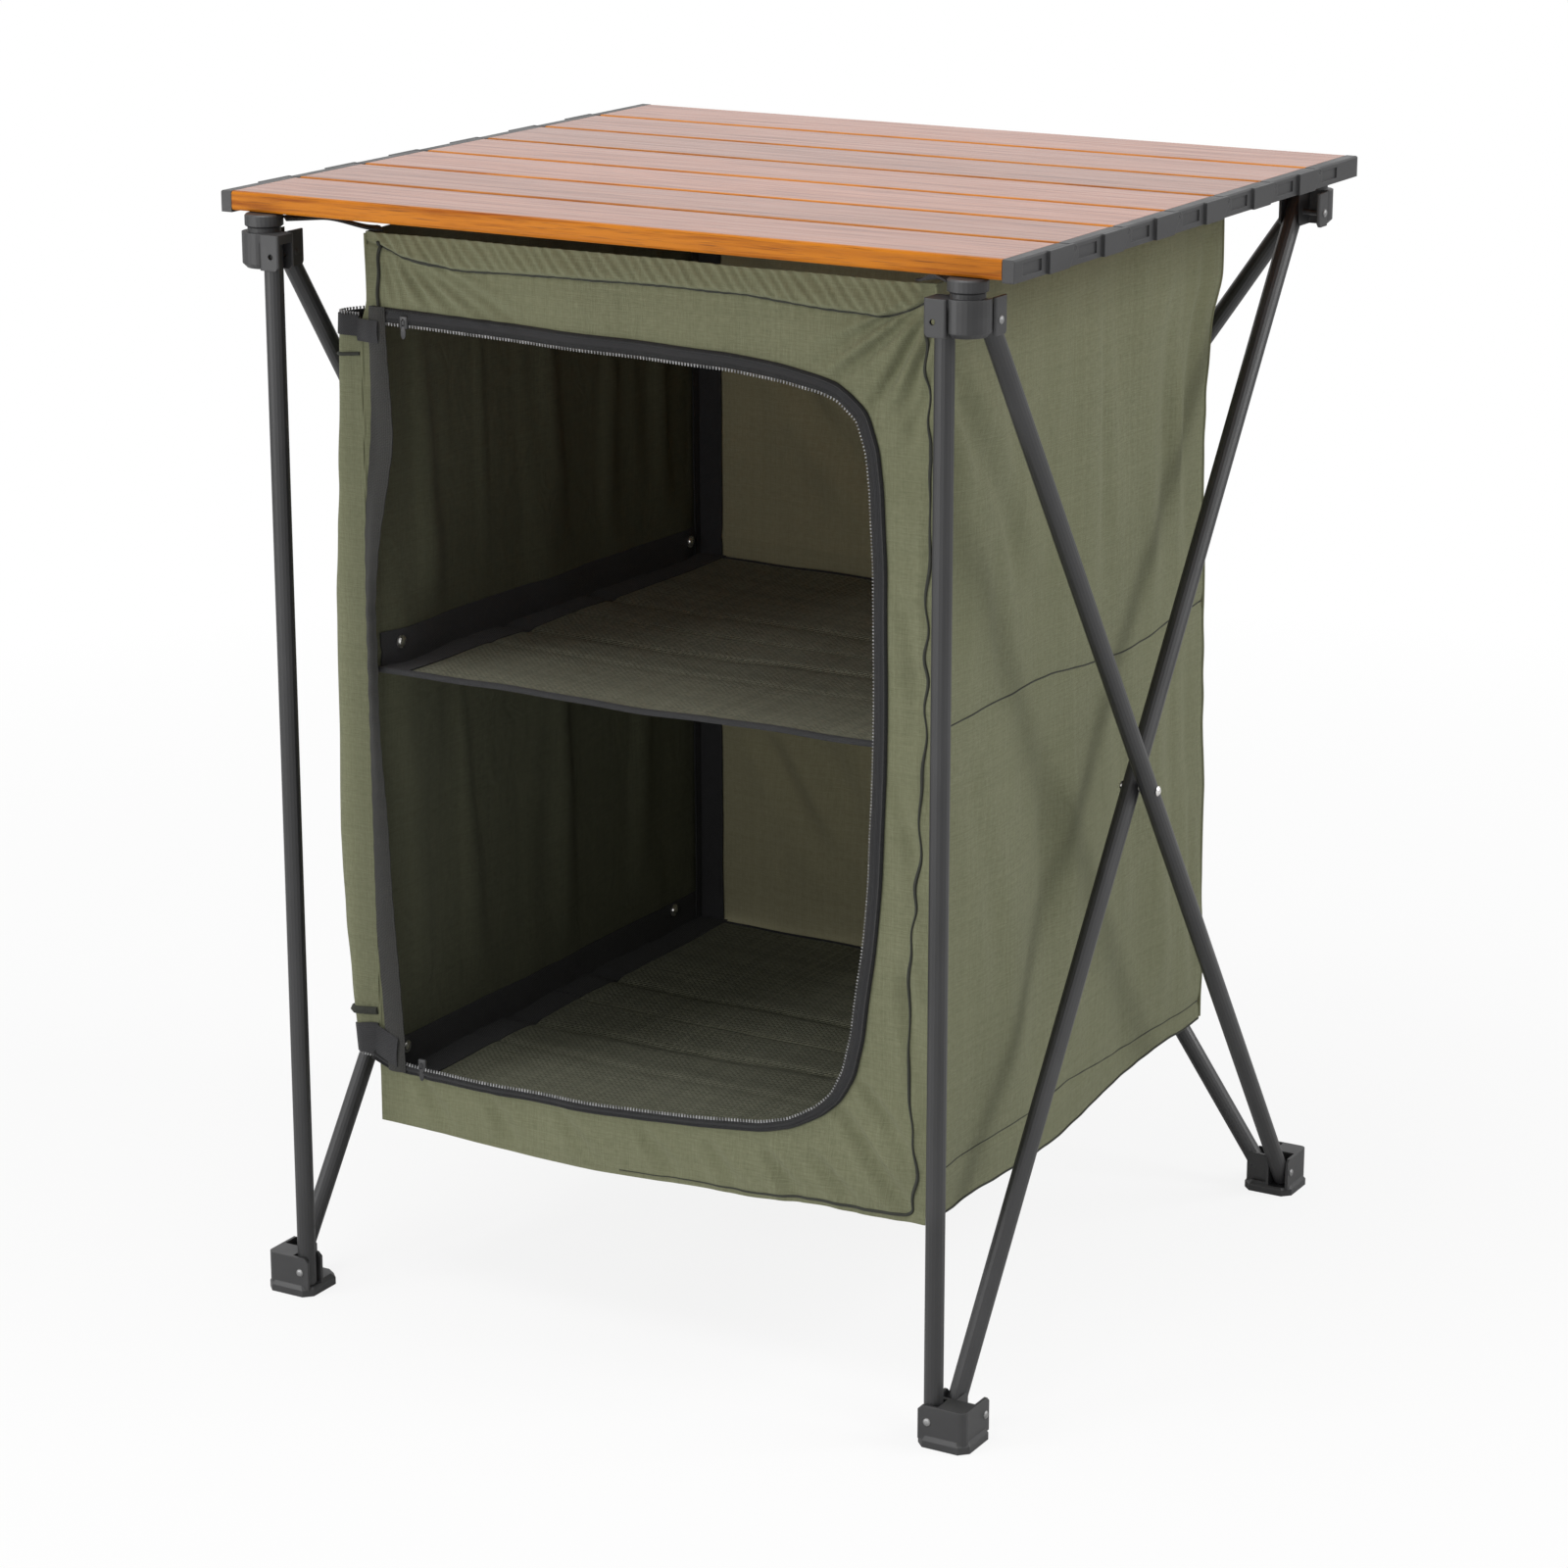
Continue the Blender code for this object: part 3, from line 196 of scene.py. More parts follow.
def make_wood():
    """Oiled hardwood: long grain, fine pores, one tone to a board, lighter rounded edges."""
    material, shader, place = start_material(
        "oiled_hardwood", WOOD_EDGE, 0.48,
        Specular_IOR_Level=0.12, Coat_Roughness=0.24, Coat_IOR=1.5,
    )
    parts = split(place)
    board = calc("DIVIDE", calc("SUBTRACT", parts["Y"], SLAT_FRONT - 0.001), SLAT_PITCH)
    tone = random_tone(calc("FLOOR", board))
    shift = calc("MULTIPLY", tone, 3.0)
    moved = add("ShaderNodeCombineXYZ", shift, shift, into=("X", "Z"))
    local = add("ShaderNodeVectorMath", place, moved, operation="ADD")
    rings = calc("SINE", calc("MULTIPLY", noise(local, (2.2, 34, 34), 3.0, 0.9), 46.0))
    streak = noise(local, (7, 210, 210), 6.0, 0.4, 0.65)
    pores = noise(local, (38, 1500, 1500), 2.0)
    grain = calc("MULTIPLY", remap(rings, -1.0, 1.0, 0.0, 0.55), streak)
    grain = calc("ADD", grain, remap(streak, 0.50, 0.72, 0.0, 0.8))
    grain.node.use_clamp = True
    wander = remap(noise(local, (9, 1, 1), 3.0), 0.3, 0.7, -0.006, 0.006)
    across = calc("ADD", calc("FRACT", board), wander)
    flat = calc("MULTIPLY", remap(across, 0.052, 0.074), remap(across, 0.962, 0.940))
    stained = calc("MULTIPLY", flat, remap(parts["Z"], cad_high.z - 0.0011, cad_high.z - 0.0003))
    face = blend(grain, WOOD_FACE, WOOD_FACE_STREAK)
    edge = blend(grain, WOOD_EDGE, WOOD_EDGE_STREAK)
    level = remap(tone, 0.0, 1.0, 0.84, 1.12)
    shade = blend(1.0, blend(stained, edge, face), level, "MULTIPLY")
    feed_all(
        shader,
        Base_Color=blend(remap(pores, 0.56, 0.70, 0.0, 0.5), shade, WOOD_PORE),
        Coat_Weight=calc("MULTIPLY", stained, 0.62),
        Roughness=remap(streak, 0.3, 0.7, 0.30, 0.48),
        Normal=bump(pores, 0.0003, 0.35),
    )
    return material


def dress(names, material):
    """Give CAD nodes another material; their shapes stay as they are."""
    for name in names:
        mesh = nodes[name].data
        mesh.materials.clear()
        mesh.materials.append(material)


dress([f"slat_{k}" for k in range(1, 8)], make_wood())


# End caps, hubs and feet: dark grey nylon, moulded with a fine spark texture.
# Their corners are rounded by the mould and rub a little lighter in use.
NYLON = (0.024, 0.024, 0.025, 1)
NYLON_RUBBED = (0.066, 0.066, 0.068, 1)
CORNERS = {
    "front_right": (1, -1), "front_left": (-1, -1), "back_right": (1, 1), "back_left": (-1, 1),
}


def make_worn(name, colour, rubbed, roughness, reach, patch, tone, rough, texture, depth, rounded):
    """A satin skin: a fine texture, dusty patches, and edges rubbed lighter."""
    material, shader, place = start_material(name, colour, roughness, Specular_IOR_Level=0.5)
    patches = noise(place, *patch)
    wear = use_group(material.node_tree, rubbed_edges, Reach=reach)
    plain = blend(remap(patches, *tone), colour, rubbed)
    fine = noise(place, (texture, texture, texture), 2.0)
    feed_all(
        shader,
        Base_Color=blend(wear["Mask"], plain, rubbed),
        Roughness=remap(patches, 0.3, 0.7, *rough),
        Normal=bump(fine, depth, 0.5, wear["Normal"] if rounded else None),
    )
    return material


nylon = make_worn(
    "moulded_nylon", NYLON, NYLON_RUBBED, 0.46, reach=0.0009, patch=((30, 30, 55), 3.0),
    tone=(0.3, 0.7, 0.0, 0.22), rough=(0.40, 0.54), texture=2600, depth=0.00012, rounded=True,
)
dress([f"cap_{k}_{hand}" for k in range(1, 8) for hand in ("left", "right")], nylon)
dress([f"{part}_{corner}" for part in ("hub", "foot") for corner in CORNERS], nylon)


# Scissor bars and posts: 13 mm steel tube with a dark powder coat, a little orange-peel in it.
# The posts slide over bright steel rods, which are hidden inside them while the frame is open.
COAT = (0.022, 0.022, 0.023, 1)
COAT_RUBBED = (0.052, 0.052, 0.054, 1)
powder_coat = make_worn(
    "powder_coat", COAT, COAT_RUBBED, 0.40, reach=0.0006, patch=((26, 26, 9), 5.0, 0.3),
    tone=(0.45, 0.75, 0.0, 0.35), rough=(0.34, 0.50), texture=900, depth=0.00010, rounded=False,
)
SCISSORS = ("right", "back", "left")
dress([f"{side}_bar_{layer}" for side in SCISSORS for layer in ("outer", "inner")], powder_coat)
dress(["post_tube_left", "post_tube_right"], powder_coat)


# Rods and rivets: bright steel, with duller steel on the domed heads. A crossing rivet holds each
# pair of bars, and a short one with a domed head each bar end, through the two cheeks of its hub or
# foot.
STEEL = (0.72, 0.71, 0.69, 1)
DULL_STEEL = (0.30, 0.30, 0.30, 1)


def make_steel(name, roughness, base):
    """Bright steel with a few dull spots."""
    material, shader, place = start_material(name, base, roughness, 1.0)
    spots = noise(place, (420, 420, 420), 3.0)
    dark = (0.5 * base[0], 0.5 * base[1], 0.5 * base[2], 1)
    feed_all(
        shader,
        Base_Color=blend(remap(spots, 0.40, 0.75, 0.0, 0.55), base, dark),
        Roughness=remap(spots, 0.3, 0.7, roughness * 0.8, roughness * 1.5),
    )
    return material


steel = make_steel("bright_steel", 0.28, STEEL)
dull_steel = make_steel("dull_steel", 0.45, DULL_STEEL)
dress([f"{side}_crossing_rivet" for side in SCISSORS], steel)
dress(["post_rod_left", "post_rod_right"], steel)

RIVET_RADIUS = 0.0028
RIVET_FLATNESS = 0.48
CORNER = 0.265
ARM_OUTSIDE = 0.0159
PIN_FACE = CORNER + ARM_OUTSIDE + 0.0003
PIN_INSET = 0.0135
POST_INSET = 0.0120
HUB_PIN_HEIGHT = 0.7452
FOOT_PIN_HEIGHT = 0.0177


def select_only(piece):
    """Leave one object selected and active, as an operator needs it."""
    bpy.ops.object.select_all(action="DESELECT")
    piece.select_set(True)
    bpy.context.view_layer.objects.active = piece


def primitive(operator, **values):
    """A new primitive, made with nothing else selected."""
    bpy.ops.object.select_all(action="DESELECT")
    operator(**values)
    return bpy.context.object


def settle(piece, name, material, smooth=35.0):
    """Name a finished piece, put its place into its mesh, and give it its finish."""
    select_only(piece)
    bpy.ops.object.transform_apply(location=True, rotation=True, scale=True)
    bpy.ops.object.shade_smooth_by_angle(angle=math.radians(smooth))
    piece.name = piece.data.name = name
    piece.data.materials.clear()
    piece.data.materials.append(material)
    return piece


def facing(outward):
    """The turn that points an object's own upward side outwards."""
    return Vector(outward).to_track_quat("Z", "Y").to_euler()


def rivet_head(name, point, outward, body):
    """A domed rivet head over the one that the moulding carries."""
    head = primitive(
        bpy.ops.mesh.primitive_uv_sphere_add,
        segments=20, ring_count=12, radius=RIVET_RADIUS, location=point, rotation=facing(outward),
    )
    bpy.ops.object.mode_set(mode="EDIT")
    bpy.ops.mesh.select_all(action="SELECT")
    bpy.ops.mesh.bisect(plane_co=point, plane_no=outward, use_fill=True, clear_inner=True)
    bpy.ops.mesh.select_all(action="DESELECT")
    bpy.ops.object.mode_set(mode="OBJECT")
    for v in head.data.vertices:
        v.co.z *= RIVET_FLATNESS
    settle(head, name, dull_steel)
    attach(head, body)


for corner, (sign_x, sign_y) in CORNERS.items():
    for part, height in (("hub", HUB_PIN_HEIGHT), ("foot", FOOT_PIN_HEIGHT)):
        body = f"{part}_{corner}"
        side = (sign_x * PIN_FACE, sign_y * (CORNER - PIN_INSET), height)
        rivet_head(f"rivet_{body}_side", side, (sign_x, 0, 0), body)
        if sign_y > 0 or part == "foot":
            inset = PIN_INSET if sign_y > 0 else POST_INSET
            end = (sign_x * (CORNER - inset), sign_y * PIN_FACE, height)
            rivet_head(f"rivet_{body}_end", end, (0, sign_y, 0), body)


# Cloth body, front wall: olive canvas of coated polyester, sewn to the side walls at its edges.
# A gathered casing is sewn across under the top and puckers along its seam, and the corners that
# hang from the hubs pull fans of creases. The bottom hem hangs in a slack curve.
BODY = 0.2194
WALL_TOP = 0.7575
WALL_SIZE = (2 * BODY, 0.634)
CANVAS = (0.196, 0.203, 0.118, 1)
CANVAS_LIGHT = (0.252, 0.259, 0.160, 1)
CANVAS_DARK = (0.128, 0.134, 0.074, 1)
CANVAS_THICKNESS = 0.0009


def make_weave_group():
    """Node group for a plain weave: the height of its threads, and a tone for each thread."""
    group, given, result = start_group(
        "plain_weave",
        {"Vector": "Vector", "Threads": "Float"},
        {"Height": "Float", "Tone": "Float"},
    )
    parts = split(add("ShaderNodeVectorMath", *given[:2], into=(0, "Scale"), operation="SCALE"))
    steps = [calc("FLOOR", parts[axis]) for axis in "XY"]
    waves = [calc("SINE", calc("MULTIPLY", parts[axis], math.pi)) for axis in "XY"]
    rounds = [calc("ABSOLUTE", wave) for wave in waves]
    tones = [random_tone(calc("ADD", step, shift)) for step, shift in zip(steps, (0.0, 517.0))]
    over = calc("PINGPONG", calc("ADD", *steps), 1.0)
    for label, pair in (("Height", rounds), ("Tone", tones)):
        feed(add("ShaderNodeMix", over, *pair, into=(0, 2, 3), data_type="FLOAT"), result[label])
    return group


plain_weave = make_weave_group()


def make_canvas(name, base, light, dark, threads, depth, spread=0.5):
    """Woven cloth on its own map in metres: threads, uneven yarn, soft creases and dust, with
    painted shade in the hollows between the threads.
    """
    material, shader, place = start_material(
        name, base, 0.86, on_map=True,
        Specular_IOR_Level=0.22, Sheen_Weight=0.06, Sheen_Roughness=0.5,
    )
    weave = use_group(material.node_tree, plain_weave, Vector=place, Threads=threads)
    slub = calc("ADD", noise(place, (900, 160, 1), 3.0), noise(place, (160, 900, 1), 3.0))
    yarn = calc("ADD", calc("MULTIPLY", weave["Tone"], spread), remap(slub, 0.55, 1.45))
    pale = blend(remap(yarn, 0.1, 1.4), dark, light)
    stains = noise(place, (9, 7, 1), 4.0, 0.4)
    colour = blend(remap(stains, 0.3, 0.7, 0.0, 0.45), pale, base)
    # Painted shade: the colour is darker in the hollows between the threads and full on their
    # raised tops.
    weave_painted_shade = remap(weave["Height"], 0.0, 0.6, 0.72, 1.0)
    crumple = bump(noise(place, (34, 26, 1), 5.0, 0.8), 0.0026, 0.75)
    feed_all(
        shader,
        Base_Color=blend(1.0, colour, weave_painted_shade, "MULTIPLY"),
        Roughness=remap(stains, 0.3, 0.7, 0.80, 0.94),
        Normal=bump(weave["Height"], depth, 0.7, crumple),
    )
    return material


canvas = make_canvas("olive_canvas", CANVAS, CANVAS_LIGHT, CANVAS_DARK, 1500.0, 0.00025)


def cut_cloth(size, columns, rows):
    """A flat piece of cloth with its map in metres, before it is hung."""
    piece = primitive(
        bpy.ops.mesh.primitive_grid_add,
        x_subdivisions=columns, y_subdivisions=rows, size=1, location=(0, 0, 0),
    )
    uv = piece.data.uv_layers[0]
    uv.name = "UVMap"
    flat = np.empty(len(uv.data) * 2, np.float32)
    uv.data.foreach_get("uv", flat)
    flat = flat.reshape(-1, 2) * np.array(size, np.float32)
    uv.data.foreach_set("uv", flat.ravel())
    return piece


def read_points(piece):
    """The places of a piece's points, one row for each."""
    flat = np.empty(len(piece.data.vertices) * 3, np.float32)
    piece.data.vertices.foreach_get("co", flat)
    return flat.reshape(-1, 3).astype(float)


def write_points(piece, points):
    """Put a piece's points at their places."""
    piece.data.vertices.foreach_set("co", points.astype(np.float32).ravel())
    piece.data.update()


def hang(piece, shape):
    """Move each point of a flat piece to its place; u and v run from 0 to 1 over the piece."""
    flat = read_points(piece)
    placed = shape(flat[:, 0] + 0.5, flat[:, 1] + 0.5)
    write_points(piece, np.stack(np.broadcast_arrays(*placed), axis=1))


def with_fold(piece, body, axis=None, anchor=None):
    """Ride a piece on its body; given an axis, the piece gets a mesh of its own."""
    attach(piece, body)
    if axis:
        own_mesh(piece)
    return piece


def sew(name, size, cells, shape, material, thickness, fold, node=None, offset=-1.0,
        smooth=60.0, cut=None):
    """A cloth piece: cut flat, hung in its shape, solidified and finished, and set on its body."""
    piece = cut_cloth(size, *cells)
    hang(piece, shape)
    if cut:
        cut(piece)
    select_only(piece)
    solid = piece.modifiers.new("thickness", "SOLIDIFY")
    solid.thickness, solid.offset = thickness, offset
    bpy.ops.object.modifier_apply(modifier=solid.name)
    settle(piece, name, material, smooth)
    if node:
        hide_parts(node)
    return with_fold(piece, *fold)


def smoothstep(x, low, high):
    """Nought below low, one above high, and a smooth rise between them."""
    t = np.clip((x - low) / (high - low), 0.0, 1.0)
    return t * t * (3 - 2 * t)


def bell(x, width):
    """One at nought, falling smoothly away on both sides."""
    return np.exp(-((x / width) ** 2))


def ripple(x, length, phase=0.0):
    """A sine wave of a given length."""
    return np.sin(2 * math.pi * x / length + phase)


def fold_line(a, b, start, end, width, height, spread=0.6):
    """One crease from start to end: a groove with a raised lip, wider towards its end."""
    run = np.array([end[0] - start[0], end[1] - start[1]])
    length = math.hypot(*run)
    run = run / length
    along = ((a - start[0]) * run[0] + (b - start[1]) * run[1]) / length
    reach = width * (1 + spread * np.clip(along, 0, 1))
    off = (-(a - start[0]) * run[1] + (b - start[1]) * run[0]) / reach
    fade = np.sin(np.pi * np.clip(along * 0.93 + 0.04, 0, 1)) ** 0.7
    lip = bell(off - 1.7, 1) + bell(off + 1.7, 1)
    return -height * fade * (bell(off, 1) - 0.55 * lip)


def creased(depth, a, b, creases, wide=1.0, deep=1.0):
    """A depth with creases added: for each, its start, end, width and height in millimetres."""
    for row in creases:
        a0, b0, a1, b1, width, height = (value / 1000 for value in row)
        depth = depth + fold_line(a, b, (a0, b0), (a1, b1), wide * width, deep * height)
    return depth


def soft_waves(a, b, size, seed, stretch=1.0):
    """Uneven waves over a cloth of about a given size, the same in each run."""
    picked = np.random.RandomState(seed)
    total = 0.0
    for _ in range(9):
        turn, phase = picked.uniform(0, 2 * math.pi, 2)
        reach = size * picked.uniform(0.6, 1.7)
        total = total + ripple(a * math.cos(turn) + b * math.sin(turn) / stretch, reach, phase)
    return total / 3.0


# The points of these lines were measured on the photo.
HEADER = (
    (-0.2194, -0.1975, -0.1857, -0.1385, -0.0687, 0.0218, 0.0806, 0.1311, 0.1842, 0.1981, 0.2194),
    (0.7510, 0.7479, 0.7422, 0.7365, 0.7386, 0.7396, 0.7394, 0.7355, 0.7339, 0.7382, 0.7490),
)
HEM = (
    (-0.2194, -0.1708, -0.1375, -0.0881, -0.04, 0.0, 0.0555, 0.0865, 0.1172, 0.1475, 0.1776,
     0.2194),
    (0.1215, 0.1210, 0.1190, 0.1176, 0.1172, 0.1190, 0.1218, 0.1228, 0.1260, 0.1283, 0.1275,
     0.1290),
)
FRONT_CREASES = (
    (-199, 742, -188, 710, 1.8, 2.2),
    (-195, 743, -179.4, 708, 2.2, 2.4),
    (-188.5, 742.5, -162, 710, 2.2, 3),
    (-184, 742.5, -140, 708, 2.4, 3.2),
    (-176, 741, -115, 706, 2.4, 3.4),
    (-160, 738.5, -95, 706, 2.6, 2.6),
    (183, 733, 133, 708, 2.2, 2.4),
    (200, 742, 133, 699, 2.4, 3.6),
    (208, 740, 147, 690, 2.8, 4),
    (215, 738, 174, 674, 3, 4.6),
    (217.5, 730, 196, 670, 3, 3.4),
    (218, 705, 197, 645, 3.6, 2.2),
    (150, 198, 209, 134, 4.2, 4.2),
    (166, 220, 212, 170, 4, 3.4),
    (130, 164, 170, 130, 4, 3.2),
    (95, 160, 125, 128, 4.2, 3.4),
    (50, 156, 76, 125, 4.6, 2.8),
    (-5, 156, 26, 124, 4.8, 2.6),
    (-70, 156, -40, 122, 5, 2.6),
    (-130, 158, -105, 122, 5, 2.2),
    (-190, 164, -160, 124, 4.6, 2.2),
    (199, 310, 212, 230, 4.5, 1.8),
    (196, 560, 213, 470, 5, 1.6),
    (193, 430, 213, 360, 4.6, 1.6),
)


def smooth_line(x, stops, values):
    """A curve through a few measured points, eased between them."""
    total, share = 0.0, 0.0
    for shift in (-0.009, -0.0045, 0.0, 0.0045, 0.009):
        weight = math.exp(-((shift / 0.006) ** 2))
        total = total + weight * np.interp(x + shift, stops, values)
        share += weight
    return total / share


def front_depth(x, z):
    """How far the front wall stands out of its plane."""
    above = z - smooth_line(x, *HEADER)
    ends = smoothstep(0.2150 - np.abs(x), 0.0, 0.012)
    rise = np.clip(above / 0.0032, 0, 1)
    casing = 0.0030 * np.sqrt(rise * (2 - rise)) * (1 - 0.5 * smoothstep(above, 0.006, 0.018))
    slant = x + 0.85 * (z - 0.745) + 0.0013 * np.sin(x * 71.0) + 0.0009 * np.sin(x * 173.0)
    ribs = ripple(slant, 0.0094) + 0.4 * ripple(slant, 0.0057, 1.0)
    under = x + 0.0016 * np.sin(x * 97.0)
    puckers = ripple(under, 0.0125) + 0.5 * ripple(under, 0.0071)
    depth = casing * ends
    depth = depth + 0.00075 * ribs * smoothstep(above, 0.0004, 0.0030) * ends
    below = (above < 0.001) * np.exp(np.minimum(above, 0) / 0.007)
    depth = depth + 0.00045 * puckers * below * ends
    depth = depth - 0.0014 * bell(above, 0.0013)
    depth = creased(depth, x, z, FRONT_CREASES)
    edge = smoothstep(BODY - np.abs(x), 0.0, 0.012)
    depth = depth + 0.0013 * soft_waves(x, z, 0.085, 11, 1.6) * edge
    depth = depth + 0.0010 * ripple(z, 0.047, 3 * np.sin(z * 13)) * smoothstep(x, 0.186, 0.205)
    sill = 0.0022 * smoothstep(0.190 - z, 0.0, 0.030)
    return depth * smoothstep(z, 0.112, 0.130) + 0.0006 + sill


def corner_tuck(a, z):
    """How far the top of the wall's left edge is drawn in by its strap, by the reach from it."""
    return 0.0050 * smoothstep(z, 0.690, 0.712) * smoothstep(-a, 0.150, BODY)


def front_flat(u, v):
    """The front wall before its folds: rows close together along the casing's seam."""
    x = BODY * (2 * u - 1)
    hem = smooth_line(x, *HEM)
    seam = smooth_line(x, *HEADER)
    z = hem + (seam - 0.004 - hem) * np.clip(v / 0.90, 0, 1)
    z = z + 0.008 * np.clip((v - 0.90) / 0.05, 0, 1)
    z = z + (WALL_TOP - seam - 0.004) * np.clip((v - 0.95) / 0.05, 0, 1)
    return x + corner_tuck(x, z), -BODY, z


# The doorway is cut out of the wall along the zip: wide corners on the free side, a slightly
# bellied top and bottom, and a hinge side that the pull of the door bows outwards.
RIM = (
    (-0.2275, -0.2117, -0.1780, -0.1120, -0.0470, 0.0010, 0.0480, 0.0943, 0.1180, 0.1398,
     0.1530, 0.1644, 0.1724, 0.1794, 0.1841, 0.1866, 0.1872, 0.1868, 0.1843, 0.1806, 0.1712,
     0.1526, 0.1383, 0.1095, 0.0659, 0.0060, -0.0540, -0.1000, -0.1471, -0.2100),
    (0.1675, 0.1620, 0.1590, 0.1583, 0.1595, 0.1619, 0.1660, 0.1712, 0.1780, 0.1901, 0.2020,
     0.2217, 0.2507, 0.3066, 0.3613, 0.4150, 0.4950, 0.5717, 0.6226, 0.6476, 0.6719, 0.6872,
     0.6921, 0.6970, 0.7007, 0.7024, 0.7035, 0.7046, 0.7060, 0.7080),
)
HINGE_Z = (0.160, 0.193, 0.204, 0.262, 0.300, 0.371, 0.441, 0.497, 0.546, 0.614, 0.665, 0.710)
HINGE_OUT = (
    -0.2090, -0.2140, -0.2146, -0.2187, -0.2190, -0.2195, -0.2200, -0.2201, -0.2195, -0.2139,
    -0.2106, -0.2090,
)
HINGE_IN = (
    -0.1960, -0.1982, -0.1990, -0.2035, -0.2058, -0.2094, -0.2130, -0.2136, -0.2063, -0.1960,
    -0.1968, -0.1975,
)
rim_reach = np.concatenate([[0], np.cumsum(np.hypot(*np.diff(RIM)))])
rim_steps = np.linspace(0, rim_reach[-1], 520)


def rim(inset):
    """The zip's line round the doorway, lower left to upper left, set in from its outer edge."""
    x, z = (smooth_line(rim_steps, rim_reach, values) for values in RIM)
    run_x, run_z = np.gradient(x), np.gradient(z)
    length = np.hypot(run_x, run_z)
    width = inset * (0.64 + 0.36 * smoothstep(z, 0.168, 0.232))
    return np.stack([x - width * run_z / length, z + width * run_x / length], axis=1)


def doorway():
    """The hole in the cloth, closed along the middle of the hinge side's binding."""
    free = rim(0.0065)
    z = np.linspace(free[-1, 1], free[0, 1], 90)
    middle = 0.45 * smooth_line(z, HINGE_Z, HINGE_OUT) + 0.55 * smooth_line(z, HINGE_Z, HINGE_IN)
    kept = free[free[:, 0] > -0.2040]
    return np.concatenate([kept, np.stack([middle, z], axis=1), kept[:1]])


def inside_outline(points, outline):
    """For each point, whether it lies inside a closed outline."""
    inside = np.zeros(len(points), bool)
    for (x0, z0), (x1, z1) in zip(outline[:-1], outline[1:]):
        if z0 == z1:
            continue
        cross = (points[:, 1] > z0) != (points[:, 1] > z1)
        at = x0 + (points[:, 1] - z0) * (x1 - x0) / (z1 - z0)
        inside ^= cross & (points[:, 0] < at)
    return inside


def edit_faces(piece, picked):
    """Enter edit mode with only some of a piece's faces selected."""
    select_only(piece)
    bpy.ops.object.mode_set(mode="EDIT")
    bpy.ops.mesh.select_mode(type="FACE")
    bpy.ops.mesh.select_all(action="DESELECT")
    bpy.ops.object.mode_set(mode="OBJECT")
    for face in piece.data.polygons:
        face.select = bool(picked(face))
    bpy.ops.object.mode_set(mode="EDIT")


def open_doorway(piece):
    """Take the doorway out of the flat wall, map the cloth in metres, and raise its folds."""
    outline = doorway()
    inside = inside_outline(read_points(piece)[:, [0, 2]], outline)
    edit_faces(piece, lambda face: inside[list(face.vertices)].all())
    bpy.ops.mesh.delete(type="FACE")
    bpy.ops.object.mode_set(mode="OBJECT")
    points = read_points(piece)
    for k in np.flatnonzero(inside_outline(points[:, [0, 2]], outline)):
        gap = np.hypot(*(outline - points[k, [0, 2]]).T)
        points[k, [0, 2]] = outline[int(gap.argmin())]
    write_points(piece, points)
    points = read_points(piece)
    corner = np.empty(len(piece.data.loops), np.int32)
    piece.data.loops.foreach_get("vertex_index", corner)
    flat = points[corner][:, [0, 2]].astype(np.float32).ravel()
    piece.data.uv_layers["UVMap"].data.foreach_set("uv", flat)
    points[:, 1] = -BODY - front_depth(points[:, 0], points[:, 2])
    write_points(piece, points)


FRONT_FOLD = ("hub_front_right", (1, 0, 0), (CORNER, -BODY, 0.4))
front_wall = sew(
    "front_wall_cloth", WALL_SIZE, (250, 290), front_flat, canvas, CANVAS_THICKNESS,
    FRONT_FOLD, "front_panel", smooth=80.0, cut=open_doorway,
)


# Seams of the front wall: a dark sunk thread along the casing, piping down the left corner, and a
# wavy seam down the right edge that turns at the foot and fades out along the hem. These dark lines
# are drawn thicker than thread: partly stitching, partly painted shadow of the folds along them.
THREAD_AND_SHADOW = (0.014, 0.015, 0.012, 1)
THREAD_LIGHT = (0.040, 0.042, 0.032, 1)
SEAM_RADIUS = 0.0006


def make_twisted(name, base, light, roughness, scale, detail, depth):
    """Twisted yarn: two tones of its colour, and the twist as a bump."""
    material, shader, place = start_material(name, base, roughness)
    twist = noise(place, (scale, scale, scale), detail)
    feed_all(shader, Base_Color=blend(twist, base, light), Normal=bump(twist, depth, 0.6))
    return material


# Dark thread, which also serves as painted shadow along the front seams and on the door.
thread_and_shadow = make_twisted("seam_thread_and_shadow", THREAD_AND_SHADOW, THREAD_LIGHT, 0.9, 1800, 2.0, 0.0002)


def seam(name, places, fold, radius=SEAM_RADIUS, material=thread_and_shadow, sides=3):
    """Stitching or piping on a cloth: a curve made a mesh. The radius may vary along it."""
    points = np.stack(np.broadcast_arrays(*places), axis=1)
    bpy.ops.object.select_all(action="DESELECT")
    curve = bpy.data.curves.new(name, "CURVE")
    curve.dimensions = "3D"
    curve.bevel_depth = 1.0
    curve.bevel_resolution = sides - 2
    curve.use_fill_caps = True
    spline = curve.splines.new("POLY")
    spline.points.add(len(points) - 1)
    for place, point, thick in zip(spline.points, points, np.broadcast_to(radius, len(points))):
        place.co = (*point, 1.0)
        place.radius = float(thick)
    line = bpy.data.objects.new(name, curve)
    bpy.context.scene.collection.objects.link(line)
    select_only(line)
    bpy.ops.object.convert(target="MESH")
    return with_fold(settle(bpy.context.object, name, material, 60.0), *fold)


def on_front(x, z, proud):
    """Places on the front wall's cloth, lifted off it by a little."""
    return x, -BODY - front_depth(x, z) - proud, z


